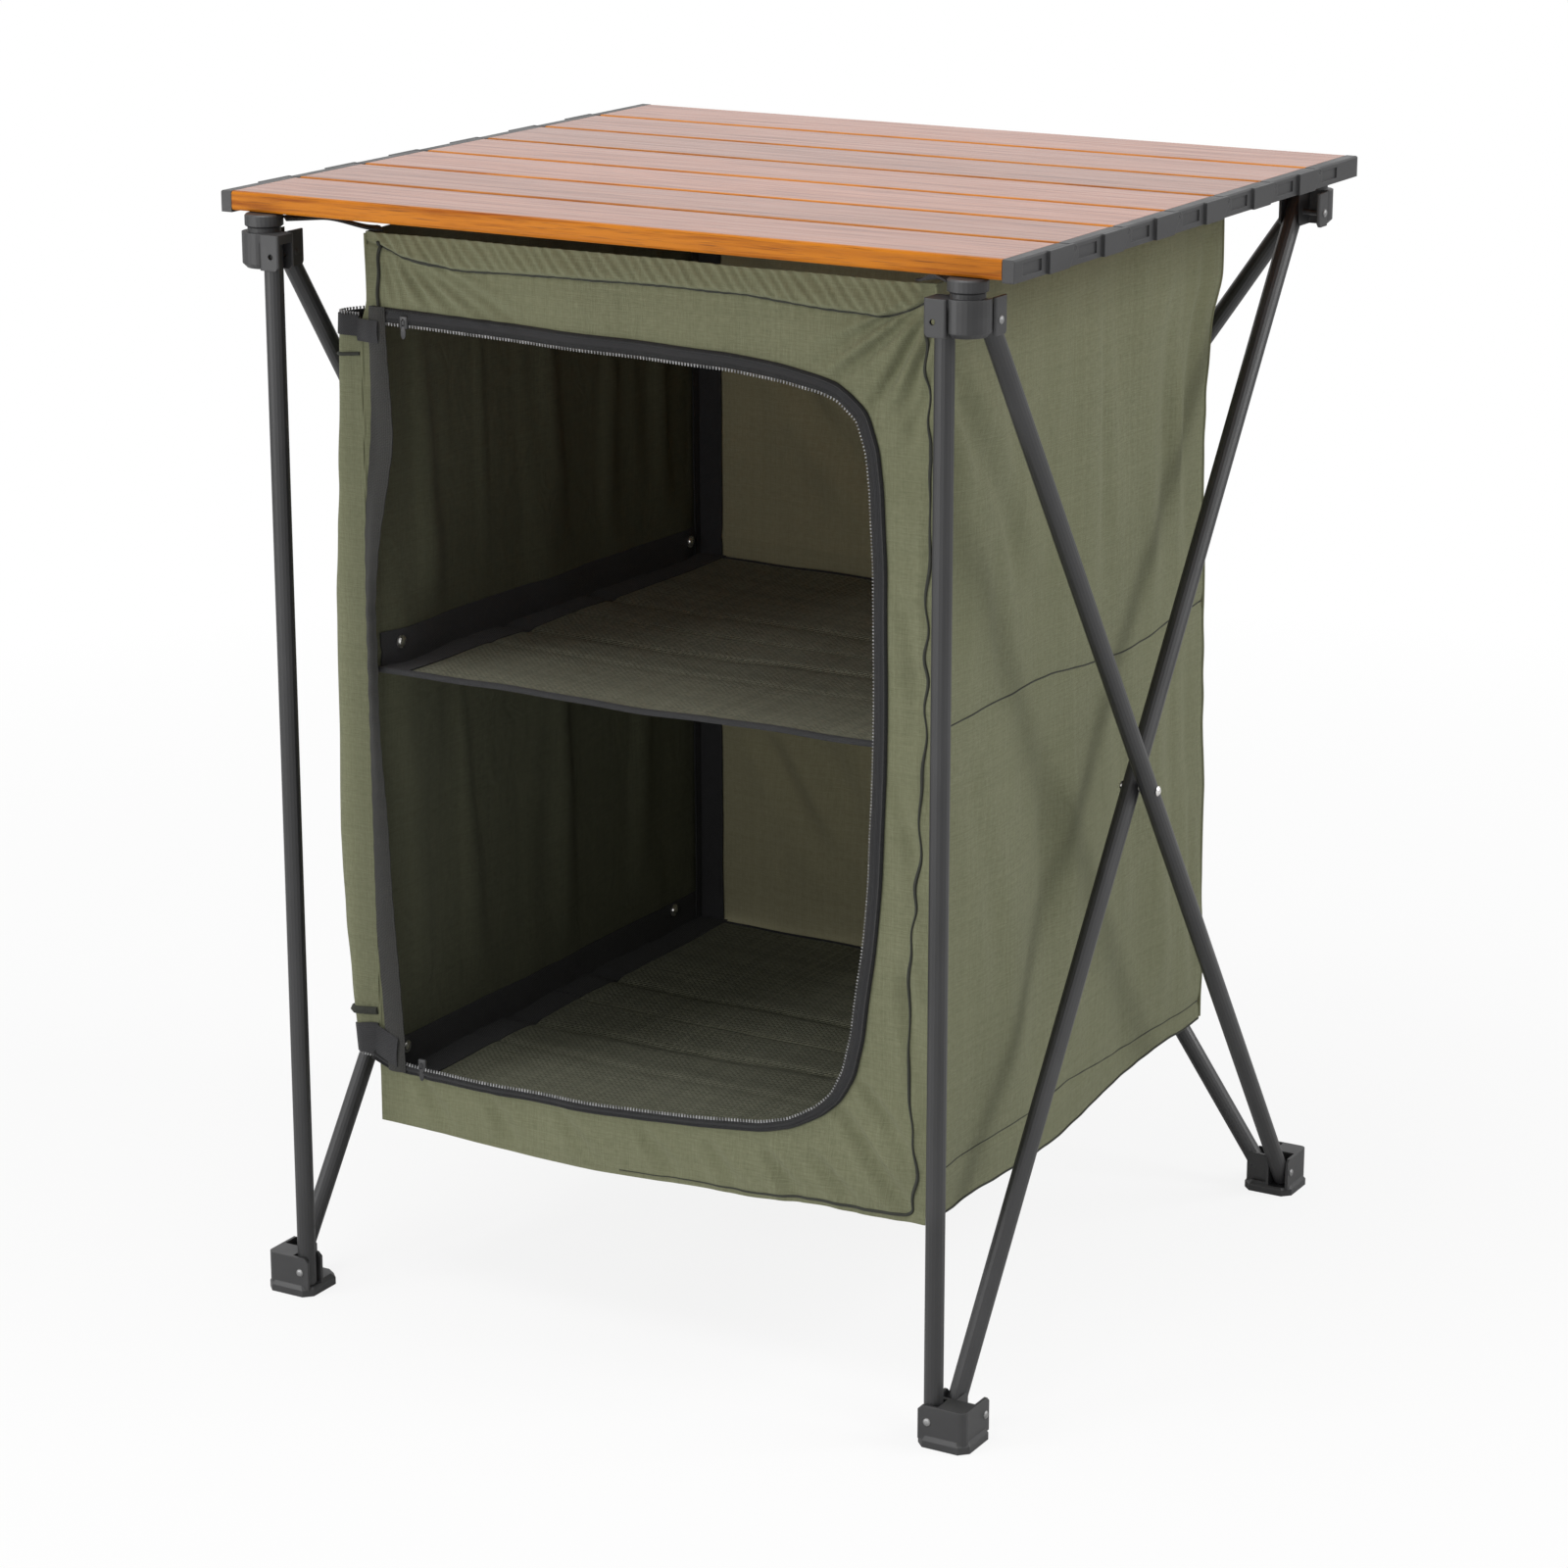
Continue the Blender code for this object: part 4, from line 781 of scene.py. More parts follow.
seam_x = np.linspace(-0.2010, 0.2150, 260)
# Painted shadow: the casing's line is drawn thicker towards the left, where the fold over it is
# darkest.
deep = 0.0009 + 0.0007 * bell(seam_x + 0.168, 0.022) + 0.0002 * np.sin(seam_x * 140)
header_z = smooth_line(seam_x, *HEADER) - 0.0003
header_seam_and_shadow = seam("front_header_seam_and_shadow", on_front(seam_x, header_z, 0.0002), FRONT_FOLD, deep)
left_z = np.linspace(0.7520, 0.7060, 40)
left_x = -0.2035 + 0.0020 * smoothstep(left_z, 0.738, 0.752) - 0.0005 * np.sin(left_z * 230)
left_seam_and_shadow = seam("front_left_piping_and_shadow", on_front(left_x, left_z, 0.0008), FRONT_FOLD, 0.0012)
RIGHT_SEAM = (
    (0.136, 0.1473, 0.1685, 0.2088, 0.2489, 0.2833, 0.3244, 0.3788, 0.4323, 0.4849, 0.5367,
     0.5880, 0.6452, 0.6887, 0.732, 0.75),
    (0.2098, 0.2109, 0.2129, 0.2066, 0.2030, 0.2040, 0.2065, 0.2108, 0.2135, 0.2151, 0.2153,
     0.2161, 0.2171, 0.2147, 0.2121, 0.2140),
)
right_z = np.linspace(0.748, 0.1385, 240)
wavy = smooth_line(right_z, *RIGHT_SEAM)
wavy = np.minimum(wavy + 0.0010 * np.sin(right_z * 130 + 2 * np.sin(right_z * 37)), 0.2172)
turns = np.linspace(0, math.pi / 2, 12)[1:]
foot_x = wavy[-1] - 0.0075 * (1 - np.cos(turns))
foot_z = 0.1385 - 0.0055 * np.sin(turns)
hem_x = np.linspace(foot_x[-1], -0.0200, 120)[1:]
hem_z = smooth_line(hem_x, *HEM) + 0.0036 + 0.0010 * smoothstep(hem_x, 0.16, 0.20)
hem_z = hem_z + (foot_z[-1] - hem_z[0]) * np.exp(-(foot_x[-1] - hem_x) / 0.012)
edge_x, edge_z = np.concatenate([wavy, foot_x, hem_x]), np.concatenate([right_z, foot_z, hem_z])
upright, faded = 0.0010 + 0.0003 * np.sin(right_z * 90), smoothstep(hem_x, -0.02, 0.20)
thick = np.concatenate([upright, np.full(len(turns), 0.0011), 0.0003 + 0.0008 * faded])
right_seam_and_shadow = seam("front_edge_seam_and_shadow", on_front(edge_x, edge_z, 0.0003), FRONT_FOLD, thick)


# Zip round the doorway: black woven tape with a rolled outer edge, folded over the cut cloth, and
# the teeth of the zip along its inner side. The hinge side has a wider binding without teeth,
# drawn in at its middle by the pull of the door.
BLACK = (0.012, 0.012, 0.013, 1)
BLACK_LIGHT = (0.042, 0.042, 0.045, 1)
HINGE_BLACK = (0.015, 0.015, 0.014, 1)
HINGE_BLACK_LIGHT = (0.046, 0.045, 0.040, 1)
TAPE_WIDTH = 0.0100
TAPE_CROWN = 0.0026
TAPE_THICKNESS = 0.0012
TOOTH_PITCH = 0.0023


def make_webbing(name, base, light, ribs, rubbed=False):
    """Woven tape on its own map: ribs, weave and lint, with painted shade in the hollows of the
    weave. A rubbed one is paler on its crown.
    """
    material, shader, place = start_material(
        name, base, 0.74, on_map=True, Specular_IOR_Level=0.35, Sheen_Weight=0.10
    )
    weave = use_group(material.node_tree, plain_weave, Vector=place, Threads=ribs)
    lint = noise(place, (340, 90, 1), 4.0)
    # Painted shade and light: the tape is darker in the hollows of its weave and lighter on its
    # raised threads, varied by lint.
    colour = blend(remap(calc("MULTIPLY", weave["Height"], lint), 0.15, 0.70), base, light)
    if rubbed:
        off = calc("ABSOLUTE", calc("SUBTRACT", split(place)["Y"], 0.0048))
        colour = blend(1.0, remap(off, 0.0026, 0.0010, 0.15, 0.95), colour, "MULTIPLY")
    feed_all(
        shader,
        Base_Color=colour,
        Roughness=remap(lint, 0.3, 0.7, 0.62, 0.84),
        Normal=bump(weave["Height"], 0.0003, 0.8),
    )
    return material


webbing = make_webbing("black_webbing", BLACK, BLACK_LIGHT, 1100.0)
hinge_webbing = make_webbing("hinge_binding", HINGE_BLACK, HINGE_BLACK_LIGHT, 900.0)
zip_cloth = make_webbing("zip_cloth", BLACK, BLACK_LIGHT, 1100.0, rubbed=True)


def tape_crown(v):
    """A tape's cross shape: a rolled outer edge, a groove beside it and a soft inner ridge."""
    ridges = np.maximum(bell(v - 0.14, 0.13), 0.85 * bell(v - 0.66, 0.30))
    return TAPE_CROWN * (0.25 + 0.75 * ridges) * smoothstep(v, -0.06, 0.05)


def between(u, v, outer, inner):
    """Places on a strip between two lines of points: u runs along them and v across."""
    at, steps = u * (len(outer) - 1), np.arange(len(outer))
    return [
        np.interp(at, steps, outer[:, k]) * (1 - v) + np.interp(at, steps, inner[:, k]) * v
        for k in (0, 1)
    ]


def front_face(x, z):
    """The front wall's surface, carried on past its left edge."""
    return -BODY - front_depth(np.maximum(x, -BODY), z)


def rim_place(u, v):
    """The tape's place: u runs along the zip and v from its outer edge to its inner one."""
    x, z = between(u, v, rim(0.0), rim(TAPE_WIDTH))
    return x, front_face(x, z) - tape_crown(v), z


def hinge_place(u, v):
    """The hinge side's binding, between its measured inner and outer edges."""
    z = 0.7080 - 0.5460 * u
    inner = smooth_line(z, HINGE_Z, HINGE_IN)
    outer = smooth_line(z, HINGE_Z, HINGE_OUT)
    pinch = bell(z - 0.47, 0.10)
    x = inner + (outer - inner) * v
    crown = 0.0034 * (0.45 + 0.55 * np.sin(np.pi * np.clip(v, 0.02, 0.98)) ** 0.6)
    crown = crown + 0.0005 * ripple(z / 0.019 + 0.3 * v, 1) * (0.4 + 0.6 * pinch)
    crown = crown + 0.0012 * pinch * bell(v - 0.45, 0.2)
    return x, front_face(x, z) - crown, z


rim_length = float(rim_reach[-1])
zip_tape = sew(
    "doorway_zip_tape", (rim_length, TAPE_WIDTH), (520, 12), rim_place, zip_cloth,
    TAPE_THICKNESS, FRONT_FOLD, "zip_tape",
)
hinge_tape = sew(
    "doorway_hinge_tape", (0.546, 0.0130), (180, 9), hinge_place, hinge_webbing,
    TAPE_THICKNESS, FRONT_FOLD,
)

TEETH = (0.240, 0.240, 0.245, 1)
TEETH_DARK = (0.150, 0.150, 0.153, 1)
TEETH_LIGHT = (0.330, 0.330, 0.335, 1)


def make_teeth_nylon():
    """Zip teeth: grey nylon coil, shiny, with dusty patches."""
    material, shader, place = start_material("zip_teeth_nylon", TEETH, 0.32)
    dust = remap(noise(place, (210, 210, 210), 3.0), 0.40, 0.62)
    feed_all(shader, Base_Color=blend(dust, TEETH_DARK, TEETH_LIGHT))
    return material


teeth_nylon = make_teeth_nylon()


def teeth_along(name, places, fold):
    """A row of teeth as one piece: blocks narrowed at their tips, each turned to its place."""
    tooth = primitive(bpy.ops.mesh.primitive_cube_add, size=1, location=(0, 0, 0))
    tooth.scale = (0.0012, 0.0014, 0.0021)
    bpy.ops.object.transform_apply(location=True, rotation=True, scale=True)
    for v in tooth.data.vertices:
        if v.co.z < 0:
            v.co.x *= 0.55
            v.co.y *= 0.6
    shape = np.array([v.co[:] for v in tooth.data.vertices])
    faces = [list(f.vertices) for f in tooth.data.polygons]
    bpy.data.objects.remove(tooth)
    points, polygons = [], []
    for middle, along, outward, inward in places:
        polygons.extend([[len(points) + k for k in face] for face in faces])
        points.extend([middle + along * x - outward * y - inward * z for x, y, z in shape])
    mesh = bpy.data.meshes.new(name)
    mesh.from_pydata([tuple(p) for p in points], [], polygons)
    row = bpy.data.objects.new(name, mesh)
    bpy.context.scene.collection.objects.link(row)
    select_only(row)
    bpy.ops.object.mode_set(mode="EDIT")
    bpy.ops.mesh.select_all(action="SELECT")
    bpy.ops.mesh.normals_make_consistent(inside=False)
    bpy.ops.object.mode_set(mode="OBJECT")
    return with_fold(settle(row, name, teeth_nylon, 30.0), *fold)


def evenly(points, pitch):
    """Points at an even pitch along a line, with the direction of the line at each."""
    reach = np.concatenate([[0], np.cumsum(np.hypot(*np.diff(points, axis=0).T))])
    at = np.arange(pitch / 2, reach[-1], pitch)

    def line(where):
        return np.stack([np.interp(where, reach, points[:, k]) for k in (0, 1)], axis=1)

    run = line(at + 0.001) - line(at - 0.001)
    return line(at), run / np.hypot(*run.T)[:, None]


tooth_places = []
for (x, z), (run_x, run_z) in zip(*evenly(rim(0.0112), TOOTH_PITCH)):
    if x < -0.2060:
        continue
    sunk = 0.0008 * min(abs(run_z), 1.0)
    y = -BODY - float(front_depth(np.array(x), np.array(z))) - 0.0010 + sunk
    middle = (x + sunk * run_z, y, z - sunk * run_x)
    axes = ((run_x, 0, run_z), (0, -1, 0), (-run_z, 0, run_x))
    tooth_places.append([Vector(values) for values in (middle, *axes)])
doorway_teeth = teeth_along("doorway_zip_teeth", tooth_places, FRONT_FOLD)


# Side and back walls: the same canvas, hung from the straps and held out by the shelf and floor.
# They hang in soft upright folds, with a row of stitching where the shelf is sewn in and a seam
# low down where the floor is. The slack rear right corner is drawn in between them.
STITCH = (
    (-0.2194, -0.1873, -0.1388, -0.0961, -0.0448, 0.0083, 0.0709, 0.1110, 0.1517, 0.2194),
    (0.4640, 0.4653, 0.4678, 0.4667, 0.4665, 0.4614, 0.4573, 0.4584, 0.4639, 0.4670),
)
LOW = (
    (-0.2194, -0.18, -0.10, 0.0, 0.05, 0.10, 0.2194),
    (0.1592, 0.1597, 0.1607, 0.1615, 0.1598, 0.1587, 0.1572),
)
EDGE = (
    (-0.2194, -0.18, -0.145, -0.11, -0.0237, 0.0, 0.0327, 0.0711, 0.1104, 0.1507, 0.2194),
    (0.1290, 0.1274, 0.1283, 0.1278, 0.1266, 0.1278, 0.1319, 0.1382, 0.1409, 0.1429, 0.1430),
)
PULL = (
    (0.143, 0.173, 0.236, 0.267, 0.326, 0.358, 0.388, 0.45, 0.50, 0.565, 0.62, 0.649, 0.676, 0.70),
    (0.009, 0.0075, 0.0115, 0.014, 0.0125, 0.018, 0.019, 0.022, 0.024, 0.030, 0.029, 0.025,
     0.020, 0.006),
)
RIGHT_CREASES = (
    (-210, 740, -156, 620, 7, 3.4),
    (-205, 725, -188, 600, 6, 2.8),
    (-180, 680, -70, 515, 10, 4.2),
    (-150, 600, -120, 475, 8, 2.2),
    (25, 720, 33, 490, 8, 2),
    (130, 700, 148, 480, 11, 4.2),
    (195, 730, 172, 560, 8, 2.8),
    (60, 450, 90, 300, 12, 3),
    (150, 450, 160, 240, 10, 3.2),
    (-170, 440, -120, 260, 10, 2.6),
    (-60, 440, -40, 280, 12, 2.4),
    (190, 320, 205, 170, 6, 2.2),
)
LEFT_CREASES = (
    (-165, 700, -150, 490, 8, 2.6),
    (-90, 710, -80, 490, 8, 3),
    (-10, 710, 15, 500, 9, 3),
    (90, 720, 80, 490, 9, 3.4),
    (150, 710, 160, 490, 8, 2.8),
    (-120, 440, -100, 200, 9, 3),
    (10, 440, 20, 200, 10, 3.2),
    (130, 440, 120, 200, 9, 2.6),
)
BACK_CREASES = (
    (-185, 690, -70, 590, 7, 3.4),
    (-160, 620, -50, 500, 8, 3),
    (-50, 690, 20, 560, 8, 2.8),
    (30, 660, 100, 520, 9, 2.8),
    (190, 700, 100, 600, 7, 3),
    (-180, 430, -60, 220, 9, 3.4),
    (-170, 320, -90, 200, 7, 2.6),
    (20, 430, 70, 240, 10, 3),
    (150, 420, 140, 230, 9, 2.6),
)
SHELF_SEAM = 0.463
SEAM_WIDTH = 0.0035


def corner_pull(z, *reaches):
    """How far the rear right corner is drawn towards the front, fading over each given reach."""
    pull = smooth_line(z, *PULL)
    for reach in reaches:
        pull = pull * np.clip((reach + 0.10) / (BODY + 0.10), 0, 1) ** 3
    return pull


def side_folds(y, z, seed):
    """Soft upright folds of a side wall, deepest half way between its seams."""
    upper = smoothstep(z, 0.462, 0.54) * (1 - 0.6 * smoothstep(z, 0.66, 0.755))
    lower = smoothstep(z, 0.150, 0.22) * smoothstep(0.462 - z, 0.0, 0.09)
    lean = y + 0.05 * (z - 0.46)
    wave = ripple(lean, 0.128, 0.6 * seed)
    wave = wave + 0.55 * ripple(lean - 0.10 * z, 0.079, 1.9 * seed)
    wave = wave + 0.30 * ripple(lean + 0.05 * z, 0.046, 2.7 * seed)
    depth = 0.0019 * wave * (upper + 0.8 * lower)
    depth = depth + 0.0016 * soft_waves(y, z, 0.15, seed, 2.4)
    depth = depth + 0.0005 * soft_waves(y, z, 0.045, seed + 5, 1.8)
    return depth * smoothstep(BODY - np.abs(y), 0.0, 0.035)


def right_depth(y, z):
    """How far the right wall stands out of its plane."""
    depth = creased(side_folds(y, z, 3), y, z, RIGHT_CREASES)
    depth = depth - 0.0013 * bell(z - smooth_line(y, *STITCH), SEAM_WIDTH)
    depth = depth - 0.0014 * bell(z - smooth_line(y, *LOW), SEAM_WIDTH)
    return depth * smoothstep(z, 0.110, 0.135) + 0.0004


def left_depth(y, z):
    """How far the left wall stands out of its plane; it hangs closer in behind the door."""
    depth = creased(side_folds(y, z, 8), y, z, LEFT_CREASES)
    depth = depth - 0.0012 * bell(z - SHELF_SEAM, SEAM_WIDTH)
    pressed = 0.0030 * smoothstep(BODY - np.abs(y), 0.0, 0.035) * smoothstep(z, 0.140, 0.190)
    depth = np.minimum(depth, 0.0008) - pressed * smoothstep(0.735 - z, 0.0, 0.040)
    return depth * smoothstep(z, 0.110, 0.135)


def back_depth(x, z):
    """How far the back wall stands out of its plane, with slack creases towards its corners."""
    depth = creased(side_folds(x, z, 5), x, z, BACK_CREASES, wide=1.3, deep=-1.9)
    depth = depth - 0.0012 * bell(z - SHELF_SEAM, SEAM_WIDTH)
    return depth * smoothstep(z, 0.110, 0.135)


def on_right(y, z, lift=0.0001):
    return BODY + right_depth(y, z) + lift, y - corner_pull(z, y), z


def on_left(y, z, lift=0.0001):
    return -BODY - left_depth(y, z) - lift + corner_tuck(y, z), y, z


def on_back(x, z, lift=0.0001):
    return x, BODY + back_depth(x, z) + lift - corner_pull(z, x), z


# The inner face of the side walls has a darker colour: painted shade for the dim inside of the
# body. The back wall's inner face has a lighter colour: painted light that stands for light through
# the cloth from behind.
LINING_PAINTED_SHADE = ((0.105, 0.108, 0.066, 1), (0.140, 0.144, 0.090, 1), (0.066, 0.069, 0.040, 1))
BACKLIGHT_PAINTED = ((0.385, 0.358, 0.222, 1), (0.450, 0.420, 0.270, 1), (0.290, 0.266, 0.160, 1))
# Painted shade: a darker canvas for the side walls' inner faces.
lining_painted_shade = make_canvas("lining_painted_shade", *LINING_PAINTED_SHADE, 1500.0, 0.0002)
# Painted light: a lighter canvas for the back wall's inner face.
painted_backlight_canvas = make_canvas("canvas_painted_backlight", *BACKLIGHT_PAINTED, 1500.0, 0.0002)


def make_wall(name, shape, node, lining, inward, fold):
    """A side or back wall, with another look on its inner face."""
    wall = sew(
        name, WALL_SIZE, (130, 180), shape, canvas, CANVAS_THICKNESS, fold, node,
        smooth=80.0,
    )
    wall.data.materials.append(lining)
    for face in wall.data.polygons:
        face.material_index = int(face.normal.dot(Vector(inward)) > 0.3)
    return wall


def right_place(u, v):
    y = BODY * (2 * u - 1)
    low = smooth_line(y, *EDGE)
    return on_right(y, low + (WALL_TOP - low) * v, 0.0)


def left_drop(y):
    """How much lower the left wall's hem hangs towards the front."""
    return 0.0075 * smoothstep(-y, 0.12, BODY)


def left_place(u, v):
    y = -BODY * (2 * u - 1)
    low = smooth_line(y, *EDGE) - left_drop(y)
    return on_left(y, low + (WALL_TOP - low) * v, 0.0)


def back_hem_line(u):
    """The back wall's hem, slack in its middle."""
    return 0.1430 - 0.010 * np.sin(np.pi * u)


def back_place(u, v):
    low = back_hem_line(u)
    return on_back(-BODY * (2 * u - 1), low + (WALL_TOP - low) * v, 0.0)


RIGHT_FOLD = ("hub_front_right", (0, 1, 0), (BODY, -CORNER, 0.4))
LEFT_FOLD = ("hub_front_left", (0, 1, 0), (-BODY, -CORNER, 0.4))
BACK_FOLD = ("hub_back_right", (1, 0, 0), (CORNER, BODY, 0.4))
SIDES = (("left", -1, LEFT_FOLD), ("right", 1, RIGHT_FOLD))
right_wall = make_wall(
    "right_wall_cloth", right_place, "right_panel", lining_painted_shade, (-1, 0, 0), RIGHT_FOLD
)
left_wall = make_wall(
    "left_wall_cloth", left_place, "left_panel", lining_painted_shade, (1, 0, 0), LEFT_FOLD
)
back_wall = make_wall(
    "back_wall_cloth", back_place, "back_panel", painted_backlight_canvas, (0, -1, 0), BACK_FOLD
)

seam_y = np.linspace(-0.2170, 0.2170, 170)
stitch_z = smooth_line(seam_y, *STITCH)
low_z = smooth_line(seam_y, *LOW)
edge_z = smooth_line(seam_y, *EDGE) + 0.0008
left_edge_z = edge_z - left_drop(seam_y)
back_hem_z = back_hem_line(0.5 - seam_y / (2 * BODY)) + 0.0008
right_stitch = seam("right_shelf_stitching", on_right(seam_y, stitch_z), RIGHT_FOLD)
right_low = seam("right_floor_seam", on_right(seam_y, low_z), RIGHT_FOLD, 0.0005)
right_hem = seam("right_hem_piping", on_right(seam_y, edge_z), RIGHT_FOLD, 0.0008)
left_stitch = seam("left_shelf_stitching", on_left(seam_y, SHELF_SEAM), LEFT_FOLD)
left_hem = seam("left_hem_piping", on_left(seam_y, left_edge_z), LEFT_FOLD, 0.0008)
back_stitch = seam("back_shelf_stitching", on_back(seam_y, SHELF_SEAM), BACK_FOLD)
back_hem = seam("back_hem_piping", on_back(seam_y, back_hem_z), BACK_FOLD, 0.0008)
canvas_cord = make_twisted("canvas_piping", CANVAS_DARK, CANVAS, 0.85, 700, 3.0, 0.0003)


def corner_seam(name, sign_x, sign_y, fold):
    """The piped upright seam where two walls are sewn together."""
    z = np.linspace(0.1450 if sign_y > 0 else 0.1300, 0.7560, 150)
    x = sign_x * (BODY + 0.0004) + (corner_tuck(-BODY, z) if sign_x < 0 and sign_y < 0 else 0.0)
    y = sign_y * (BODY + 0.0002) + 0.0006 * np.sin(z * 117 + 2 * np.sin(z * 31))
    if sign_x > 0 and sign_y > 0:
        y = y - corner_pull(z)
    return seam(name, (x, y, z), fold, 0.0011, canvas_cord)


right_front_seam = corner_seam("corner_seam_front_right", 1, -1, RIGHT_FOLD)
right_back_seam = corner_seam("corner_seam_back_right", 1, 1, BACK_FOLD)
left_front_seam = corner_seam("corner_seam_front_left", -1, -1, LEFT_FOLD)
left_back_seam = corner_seam("corner_seam_back_left", -1, 1, BACK_FOLD)


# Inside bindings: black tape sewn down the corners, and wide black bands along the side walls
# where the shelf and the floor are held, with press studs at their ends.
INNER = BODY - 0.0024
BAND_LENGTH = 0.424
BAND_HEIGHT = 0.027


def lay_tape(name, size, cells, shape, fold, thickness=0.0010):
    """A strip of black tape, its thickness on both sides of where it is laid."""
    return sew(name, size, cells, shape, webbing, thickness, fold, offset=0.0)


def side_depth(sign, y, z):
    """How far a side wall stands out: the left one for a negative sign, or else the right one."""
    return left_depth(y, z) if sign < 0 else right_depth(y, z)


def side_pull(sign, z, *reaches):
    """The pull of the rear right corner, which the left side doesn't have."""
    return corner_pull(z, *reaches) if sign > 0 else 0.0


def corner_tape(name, sign):
    """Tape down a back corner, seen on the back wall and a little on the side wall."""

    def shape(u, v):
        z = 0.150 + 0.600 * v
        reach = 0.030 * u
        turned = smoothstep(reach, 0.009, 0.012)
        x = INNER - 0.0008 - np.maximum(reach - 0.0105, 0.0)
        y = INNER - 0.0008 - np.maximum(0.0105 - reach, 0.0)
        y = y + back_depth(sign * x, z) * turned
        y = np.minimum(y, BODY - 0.0022 + back_depth(sign * x, z))
        wall = side_depth(sign, y, z)
        y = y - side_pull(sign, z, sign * x, y)
        return sign * (x + np.minimum(wall, 0.001) * (1 - turned)), y, z

    return lay_tape(name, (0.030, 0.600), (12, 90), shape, BACK_FOLD)


def side_band(name, sign, low_front, low_back, fold):
    """A wide band along a side wall, from the shelf or the floor up."""

    def shape(u, v):
        y = -0.212 + BAND_LENGTH * u
        z = low_front + (low_back - low_front) * u + BAND_HEIGHT * v
        x = BODY - 0.0020 + np.minimum(side_depth(sign, y, z), 0.0012)
        return sign * x, y - side_pull(sign, z, y), z

    return lay_tape(name, (BAND_LENGTH, BAND_HEIGHT), (90, 6), shape, fold)


left_tape = corner_tape("corner_tape_left", -1)
right_tape = corner_tape("corner_tape_right", 1)
bands = [
    side_band(f"{side}_{part}_band", sign, low_front, low_back, fold)
    for part, low_front, low_back in (("shelf", 0.4500, 0.4440), ("floor", 0.1500, 0.1480))
    for side, sign, fold in SIDES
]


# Press studs: nickel-plated caps on the bands, two to each end, which hold the shelf and the
# floor up in the body and come undone for packing.
STUD_RADIUS = 0.0046


def press_stud(name, point, outward, fold):
    """A press stud: a thin washer with a domed cap on it."""
    stud = primitive(
        bpy.ops.mesh.primitive_cylinder_add,
        vertices=28, radius=STUD_RADIUS, depth=0.0012, location=point, rotation=facing(outward),
    )
    edit_faces(stud, lambda face: face.normal.z > 0.9)
    for inset, rise in ((0.0010, 0.0), (0.0003, 0.0010), (0.0012, 0.0005)):
        bpy.ops.mesh.inset(thickness=inset, depth=rise)
    bpy.ops.object.mode_set(mode="OBJECT")
    with_fold(settle(stud, name, steel, 40.0), *fold)


for side, sign, fold in SIDES:
    for name, y, z in (
        ("shelf_front", -0.1950, 0.4680),
        ("shelf_back", 0.1940, 0.4620),
        ("floor_back", 0.1720, 0.1690),
        ("floor_front", -0.1950, 0.1690),
    ):
        depth = min(float(side_depth(sign, np.array(y), np.array(z))), 0.0012)
        drawn = float(side_pull(sign, np.array(z), np.array(y)))
        place = (sign * (BODY - 0.0030 + depth), y - drawn, z)
        press_stud(f"{side}_stud_{name}", place, (-sign, 0, 0), fold)


# Shelf and floor: stiff boards in a coated cloth with a raised dotted weave, in two halves that
# fold at a crease across the middle. Black piping binds the shelf's front edge, and a black
# binding each side edge.
DOTTED = (0.150, 0.152, 0.104, 1)
DOTTED_LIGHT = (0.235, 0.236, 0.170, 1)
DOTTED_DARK = (0.085, 0.087, 0.056, 1)
dotted = make_canvas("dotted_cloth", DOTTED, DOTTED_LIGHT, DOTTED_DARK, 430.0, 0.0007, 0.9)
BOARD_REACH = 0.2170
BOARD_THICKNESS = 0.0024
BOARD_FRONT, BOARD_BACK = -0.2150, 0.2130
BINDING_WIDTH = 0.024


def board_top(x, y, level, fall, sag):
    """Height of a board's upper side: it falls to the back, sags, and dips at its creases."""
    across = 1 - (x / BOARD_REACH) ** 2
    along = 1 - 0.7 * (y / BOARD_REACH) ** 2
    top = level - fall * (y + BOARD_REACH) / (2 * BOARD_REACH) - sag * across * along
    for crease in (-0.052 + 0.05 * x, 0.052, -0.110):
        deep = 0.0022 if abs(np.mean(crease)) < 0.09 else 0.0010
        top = top - deep * bell(y - crease, 0.0050)
    return top + 0.0006 * soft_waves(x, y, 0.11, 21)


def board_shape(start, end, form):
    """Half of the shelf or the floor, with its creases and its rounded edge."""

    def shape(u, v):
        x = BOARD_REACH * (2 * u - 1)
        y = np.clip(start + (end - start) * v, BOARD_FRONT, BOARD_BACK)
        edge = np.minimum(BOARD_REACH - np.abs(x), np.minimum(y - start, end - y))
        top = board_top(x, y, *form) - 0.0010 * (1 - smoothstep(edge, 0.0, 0.0030))
        return x, y - corner_pull(form[0], x, y), top

    return shape


def binding_shape(sign, start, end, form):
    """Black tape over a side edge of a board."""

    def shape(u, v):
        x = sign * (BOARD_REACH - BINDING_WIDTH * v)
        y = start + (end - start) * u
        return x, y - corner_pull(form[0], x, y), board_top(x, y, *form) + 0.0006

    return shape


